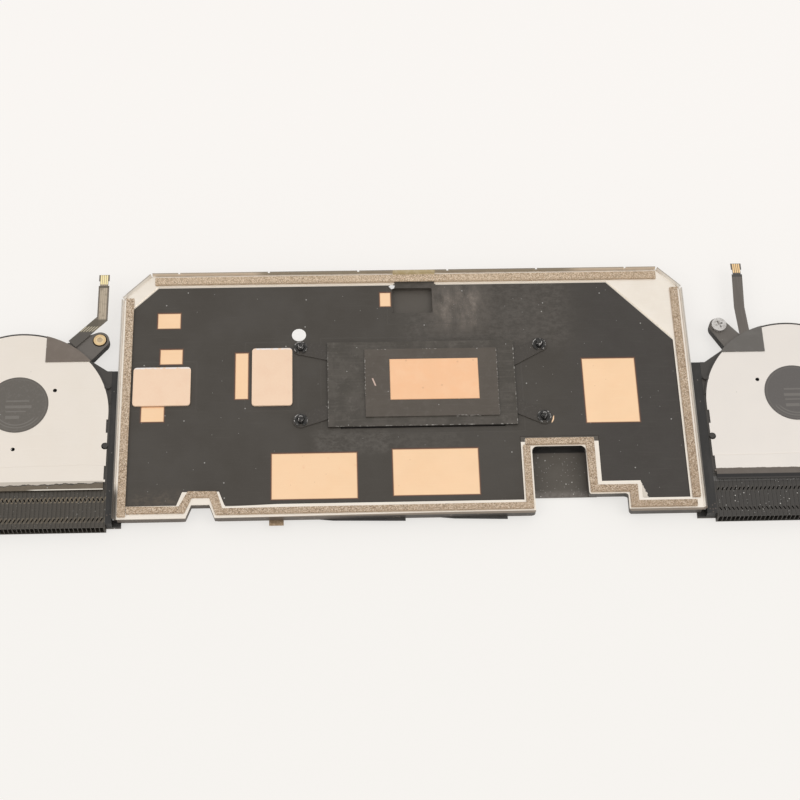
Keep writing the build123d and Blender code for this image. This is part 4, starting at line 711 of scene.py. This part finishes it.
# Fin stacks: black, with slanted locks in two rows that show tan on the left, more dust on the right, and
# painted light along the back edge of the right one
LOCK_ROWS = ((-31.7, -30.1, 1.0), (-38.0, -36.4, 0.5))
LOCK_SLANT = 0.55
RIGHT_PAINTED_LIGHT_EDGE = (80, 150, -28.25, -27.0)
fins = Paint("fin_black", (0.046, 0.039, 0.030), 0.42)
fins.blend(fins.ramp(fins.wave(fins.x, FIN_RATE), -0.2, 0.9), (0.060, 0.051, 0.040), 0.7)
rows = fins.any_of([fins.times(fins.within(fins.y, low, high, 0.2), share) for low, high, share in LOCK_ROWS])
slots = fins.wave(fins.calc("SUBTRACT", fins.x, fins.times(fins.y, LOCK_SLANT)), FIN_RATE)
locks = fins.times(rows, fins.ramp(slots, -0.3, 0.5), fins.ramp(fins.x, 10, -10, 0.1, 0.65))
fins.blend(fins.times(locks, fins.ramp(fins.noise(3, 3), 0.3, 0.55, 0.35, 1.0)), (0.25, 0.20, 0.135))
fins.blend(fins.ramp(fins.x, -10, 10), (0.026, 0.025, 0.026), 0.5)
# Painted light on the right stack along its back edge, against the shadow of the tape
fins.blend(fins.patch(*RIGHT_PAINTED_LIGHT_EDGE, 0.25), (0.12, 0.115, 0.11), 0.9)
dusty = fins.plus(0.25, fins.ramp(fins.x, -10, 10, 0.0, 0.6))
fins.blend(fins.times(dusty, fins.specks(0.9, 0.13, 0.11)), (0.60, 0.59, 0.57))
fins.blend(fins.times(dusty, fins.specks(2.6, 0.13, 0.2, 1.9)), (0.66, 0.64, 0.60))
fins.sheen(3, 3, 0.35, 0.55)
fins.uneven(0.3, 0.01)
dress(fins, *both("fin_stack"))

# Insert in the left ear: brass, with painted shade in its bore and a painted highlight round it
INSERT_X, INSERT_Y = -92.3, 21.6
brass = Paint("insert_brass", (0.74, 0.55, 0.31), 0.34, 1.0)
brass.mottle(1, 4, 0.4, 0.7, (0.58, 0.40, 0.21), 0.7)
from_insert = brass.radius(brass.plus(brass.x, -INSERT_X), brass.plus(brass.y, -INSERT_Y))
# Painted shade in the bore, and a painted highlight round its rim
brass.blend(brass.ramp(from_insert, 1.0, 0.75), (0.47, 0.38, 0.27), 0.75)
brass.blend(brass.within(from_insert, 0.95, 1.1, 0.1), (0.86, 0.72, 0.47), 0.6)
brass.sheen(0.6, 3, 0.26, 0.44)
brass.uneven(0.2, 0.01)
dress(brass, "ear_insert")

# Screw in the right ear: plated
zinc = Paint("screw_zinc", (0.60, 0.585, 0.57), 0.38, 1.0)
zinc.mottle(0.7, 4, 0.45, 0.65, (0.40, 0.38, 0.36), 0.8)
zinc.sheen(0.5, 3, 0.28, 0.5)
zinc.uneven(0.25, 0.02, 3)
dress(zinc, "ear_screw")

# Left flex tail: amber with traces, dark edges and near end, and bright slanted strokes in one place
LEFT_FLEX_X = -91.85
amber = Paint("flex_amber", (0.50, 0.42, 0.32), 0.34)
traces = amber.wave(amber.x, TRACE_RATE)
amber.blend(amber.ramp(traces, 0.1, 0.9), (0.31, 0.25, 0.18), 0.75)
from_centre = amber.calc("ABSOLUTE", amber.plus(amber.x, -LEFT_FLEX_X))
amber.blend(amber.ramp(from_centre, 0.95, 1.3), (0.115, 0.097, 0.082), 0.9)
amber.mottle(1.6, 4, 0.5, 0.66, (0.22, 0.18, 0.13), 0.6)
amber.blend(amber.ramp(amber.y, 29.0, 28.2), (0.105, 0.090, 0.064), 0.92)
strokes = amber.ramp(amber.wave(amber.calc("SUBTRACT", amber.y, amber.x), STROKE_RATE), -0.1, 0.7)
amber.blend(amber.times(amber.within(amber.y, 24.6, 26.0, 0.3), strokes), (0.62, 0.55, 0.40), 0.85)
amber.blend(amber.ramp(amber.y, 24.6, 23.8), (0.085, 0.075, 0.064))
amber.blend(amber.within(amber.y, 39.7, 40.5, 0.1), (0.10, 0.085, 0.06), 0.9)
amber.sheen(1.5, 3, 0.28, 0.44)
amber.bump(traces, 0.015)
dress(amber, "flex_tail_left")

# Right flex tail: grey
grey = Paint("flex_grey", (0.118, 0.103, 0.090), 0.4)
grey.mottle(0.5, 3, 0.45, 0.7, (0.155, 0.138, 0.122), 0.8, stretch=BRUSHED_Y)
grey.blend(grey.within(grey.y, 40.6, 41.5, 0.15), (0.05, 0.047, 0.044), 0.9)
grey.sheen(1.5, 3, 0.34, 0.5)
grey.uneven(0.5, 0.01, stretch=BRUSHED_Y)
dress(grey, "flex_tail_right")

# Contacts of the flex tails: gold, redder on the right
gold = Paint("contact_gold", (0.97, 0.85, 0.48), 0.3, 1.0)
gold.mottle(0.6, 3, 0.45, 0.7, (0.90, 0.74, 0.34), 0.6)
gold.blend(gold.ramp(gold.x, -10, 10), (0.92, 0.62, 0.33), 0.85)
gold.uneven(0.2, 0.006)
dress(gold, *both("flex_contacts"))

# Amber tape on the far rim
amber_tape = Paint("amber_tape", (0.52, 0.42, 0.24), 0.4)
amber_tape.mottle(1.5, 4, 0.4, 0.7, (0.62, 0.53, 0.36), 0.8)
amber_tape.uneven(1.5, 0.02)
dress(amber_tape, "rear_tape")

# Crumpled brown foil
foil = Paint("foil_brown", (0.34, 0.24, 0.15), 0.34, 0.7)
foil.mottle(0.8, 4, 0.4, 0.7, (0.52, 0.40, 0.28), 0.8)
foil.uneven(0.7, 0.06, 3)
dress(foil, "foil_tab")

# Inside the motors: steel, magnets and bronze
steel = Paint("motor_steel", (0.46, 0.45, 0.44), 0.32, 1.0)
steel.mottle(1, 4, 0.4, 0.7, (0.34, 0.33, 0.32), 0.7)
steel.uneven(0.3, 0.006, stretch=(1, 1, 0.1))
dress(steel, *both("rotor_yoke"), *both("shaft"), *both("stator"))
magnet = Paint("magnet_dark", (0.060, 0.058, 0.056), 0.6)
magnet.mottle(0.6, 4, 0.4, 0.7, (0.085, 0.082, 0.078), 0.8)
magnet.uneven(0.2, 0.01)
dress(magnet, *both("rotor_magnet"))
bronze = Paint("sleeve_bronze", (0.62, 0.44, 0.24), 0.4, 1.0)
bronze.mottle(0.4, 3, 0.45, 0.7, (0.48, 0.32, 0.17), 0.7)
bronze.uneven(0.15, 0.008)
dress(bronze, *both("bearing_sleeve"))

# Gaskets: speckled conductive cloth over foam, with rounded edges
GASKET_ROUND = 0.22
cloth = Paint("gasket_cloth", (0.46, 0.338, 0.232), 0.8, 0.0, 0.2)
cloth.mottle(0.34, 3, 0.48, 0.56, (0.84, 0.71, 0.565), 0.85, rough=0.7)
cloth.mottle(0.36, 3, 0.53, 0.61, (0.13, 0.085, 0.052), 0.88, shift=4.0, rough=0.7)
cloth.mottle(14, 3, 0.4, 0.7, (0.60, 0.47, 0.34), 0.25)
cloth.blend(cloth.ramp(cloth.y, 10, -30), (0.22, 0.14, 0.085), 0.13)
cloth.blend(cloth.ramp(cloth.x, 45, 68), (0.20, 0.13, 0.08), 0.14)
cloth.blend(cloth.ramp(cloth.y, 37, 39), (0.80, 0.61, 0.40), 0.14)
cloth.uneven(0.3, 0.04)
cloth.uneven(3, 0.04)
for name in ("gasket_rear", "gasket_left", "gasket_right"):
    soften(name, GASKET_ROUND, cloth)

# The front gasket is laid by hand and a little narrow, so that rim shows beside it
FRONT_MOVES = (
    (-82.25, -36.1, 0, 0.3), (-66.05, -36.1, 0.5, 0.3), (-67.75, -33.7, 0.65, -0.2),
    (-66.15, -29.15, 1.5, 0), (-64.45, -31.55, 0.9, 0.55), (-57.55, -31.55, -0.9, 0.55),
    (-55.85, -29.15, -0.5, -0.15), (-54.25, -33.7, -0.4, -1.0), (-55.95, -36.1, -0.65, -0.4),
    (32.7, -33.7, 0.25, -0.7), (35.1, -36.1, 0, -0.2), (32.7, -16.05, 0.3, 0),
    (33.75, -13.5, 0, -0.4), (54.3, -13.5, -0.3, -0.4), (51.9, -15.9, -0.4, 0),
    (54.3, -29.0, -0.25, -0.3), (65.6, -29.0, 0, -0.3), (65.6, -33.7, 0, -0.75),
    (82.5, -33.7, 0, -0.75), (63.2, -36.1, 0, -0.3), (82.5, -36.1, 0, -0.3),
)
soften("gasket_front", GASKET_ROUND, cloth, FRONT_MOVES)

# Thermal pads: soft gum with residue along their far edges
PAD_ROUND = 0.28
RESIDUE = ((-81.8, -64.6, 11.2, 12.0), (-46.8, -34.6, 17.2, 18.0))
gum = Paint("pad_gum", (0.93, 0.685, 0.50), 0.55)
gum.mottle(4, 4, 0.4, 0.7, (0.91, 0.655, 0.475), 0.8)
gum.mottle(0.4, 3, 0.5, 0.75, (0.95, 0.73, 0.56), 0.5)
residue = gum.any_of([gum.patch(*area, 0.25) for area in RESIDUE])
gum.blend(gum.times(residue, gum.ramp(gum.noise(1.2, 4), 0.4, 0.55)), (0.90, 0.86, 0.86), 0.9)
gum.sheen(3, 3, 0.45, 0.65)
gum.uneven(5, 0.08)
gum.uneven(0.5, 0.02, 3)
soften("thermal_pad_left", PAD_ROUND, gum, shift=(0, -0.3))
soften("thermal_pad_centre", PAD_ROUND, gum, shift=(0.2, -0.3))

# A chip of paper by the pocket
CHIP_THICK = 0.08
CHIP_OUTLINE = ((-5.0, 38.9), (-4.2, 39.5), (-3.1, 39.2), (-3.3, 38.3), (-4.1, 37.9))
paper = Paint("paper_chip", (0.82, 0.82, 0.81), 0.7)
paper.mottle(0.4, 3, 0.4, 0.7, (0.70, 0.70, 0.69), 0.8)
flake("paper_chip", CHIP_OUTLINE, FILM_TOP, CHIP_THICK, paper)


def arc(x, y, radius, angles):
    """Points on a circle round x, y at angles in degrees."""
    turns = [math.radians(angle) for angle in angles]
    return [(x + radius * math.cos(turn), y + radius * math.sin(turn)) for turn in turns]


# A sliver of bare copper round the near right screw, with pointed ends
SLIVER_THICK = 0.03
SLIVER_INNER, SLIVER_OUTER = 2.58, 2.95
SLIVER_ANGLES = (-46, -32, -17, -2, 10)
near_right = (SCREWS_X[0] + SCREWS_X[1], SCREWS_Y[0] - SCREWS_Y[1])
outer_side = arc(*near_right, SLIVER_OUTER, SLIVER_ANGLES)
inner_side = arc(*near_right, SLIVER_INNER, reversed(SLIVER_ANGLES[1:-1]))
flake("copper_edge", outer_side + inner_side, FILM_TOP, SLIVER_THICK, sheet)

# White floor, in metres, which glows by a share where the camera sees it
FLOOR_REACH = 6.0
FLOOR_GAP = 0.0002
GLOW_SHARE = 0.7
white = Paint("floor", (0.935, 0.915, 0.885), 0.9, 0.0, 0.0)
# Painted light: the floor paler towards the far side
white.blend(white.ramp(white.y, -40, 120), (0.965, 0.938, 0.912))
glow = white.node("ShaderNodeEmission", {"Color": white.base, "Strength": 1.0})
seen = white.times(white.node("ShaderNodeLightPath", out="Is Camera Ray"), GLOW_SHARE)
lit = white.node("ShaderNodeMixShader", (seen, white.bsdf.outputs[0], glow))
feed(white.tree, white.tree.nodes["Material Output"].inputs["Surface"], lit)
floor_mesh = bpy.data.meshes.new("floor")
corners = [(x * FLOOR_REACH, y * FLOOR_REACH, 0) for x, y in ((-1, -1), (1, -1), (1, 1), (-1, 1))]
floor_mesh.from_pydata(corners, [], [(0, 1, 2, 3)])
floor_mesh.materials.append(white.material)
floor = bpy.data.objects.new("floor", floor_mesh)
floor.location.z = cad_box[0].z - FLOOR_GAP
scene.collection.objects.link(floor)

# White surroundings: full when seen directly or in a reflection, a little weaker as a light
SKY_LIGHT = 0.8
world = bpy.data.worlds.new("studio")
scene.world = world
world.use_nodes = True
sky = world.node_tree
rays = sky.nodes.new("ShaderNodeLightPath").outputs
passed_on = (rays["Is Glossy Ray"], rays["Is Transmission Ray"])
mirrored = add_node(sky, "ShaderNodeMath", passed_on, operation="MAXIMUM")
direct = add_node(sky, "ShaderNodeMath", (rays["Is Camera Ray"], mirrored), operation="MAXIMUM")
level = add_node(sky, "ShaderNodeMapRange", {"Value": direct, "To Min": SKY_LIGHT, "To Max": 1.0})
background = sky.nodes["Background"].inputs
feed(sky, background["Strength"], level)
feed(sky, background["Color"], (*WARM_WHITE, 1))


# Two square lamps, in metres and watts
SOFTBOX_SIZE = 0.8


def softbox(name, place, power):
    """Adds a lamp that faces the part."""
    data = bpy.data.lights.new(name, "AREA")
    data.shape = "RECTANGLE"
    data.size = data.size_y = SOFTBOX_SIZE
    data.energy = power
    data.color = WARM_WHITE
    lamp = bpy.data.objects.new(name, data)
    lamp.location = place
    lamp.rotation_mode = "QUATERNION"
    lamp.rotation_quaternion = (-Vector(place)).to_track_quat("-Z", "Y")
    scene.collection.objects.link(lamp)


softbox("key", (0.9, -0.3, 1.1), 3.2)
softbox("fill", (-0.9, -0.5, 1.0), 2.0)

# The camera that fits the photograph: its lens in millimetres, its angles in degrees, its place in metres
LENS = 81.829
SENSOR_WIDTH = 36.0
TURN, RISE, ROLL = (math.radians(angle) for angle in (-3.904, 62.451, 2.543))
TARGET = Vector((-0.002605, -0.003177, 0.0044))
DISTANCE = 0.53954
camera_data = bpy.data.cameras.new("camera")
camera_data.sensor_width = SENSOR_WIDTH
camera_data.lens = LENS
camera_data.clip_start = 0.01
camera_data.clip_end = 50
camera = bpy.data.objects.new("camera", camera_data)
scene.collection.objects.link(camera)
scene.camera = camera
back = Vector((math.sin(TURN) * math.cos(RISE), -math.cos(TURN) * math.cos(RISE), math.sin(RISE)))
level_right = Vector((math.cos(TURN), math.sin(TURN), 0))
level_up = back.cross(level_right)
right = level_right * math.cos(ROLL) + level_up * math.sin(ROLL)
up = level_up * math.cos(ROLL) - level_right * math.sin(ROLL)
facing = Matrix((right, up, back)).transposed().to_4x4()
camera.matrix_world = Matrix.Translation(TARGET + back * DISTANCE) @ facing
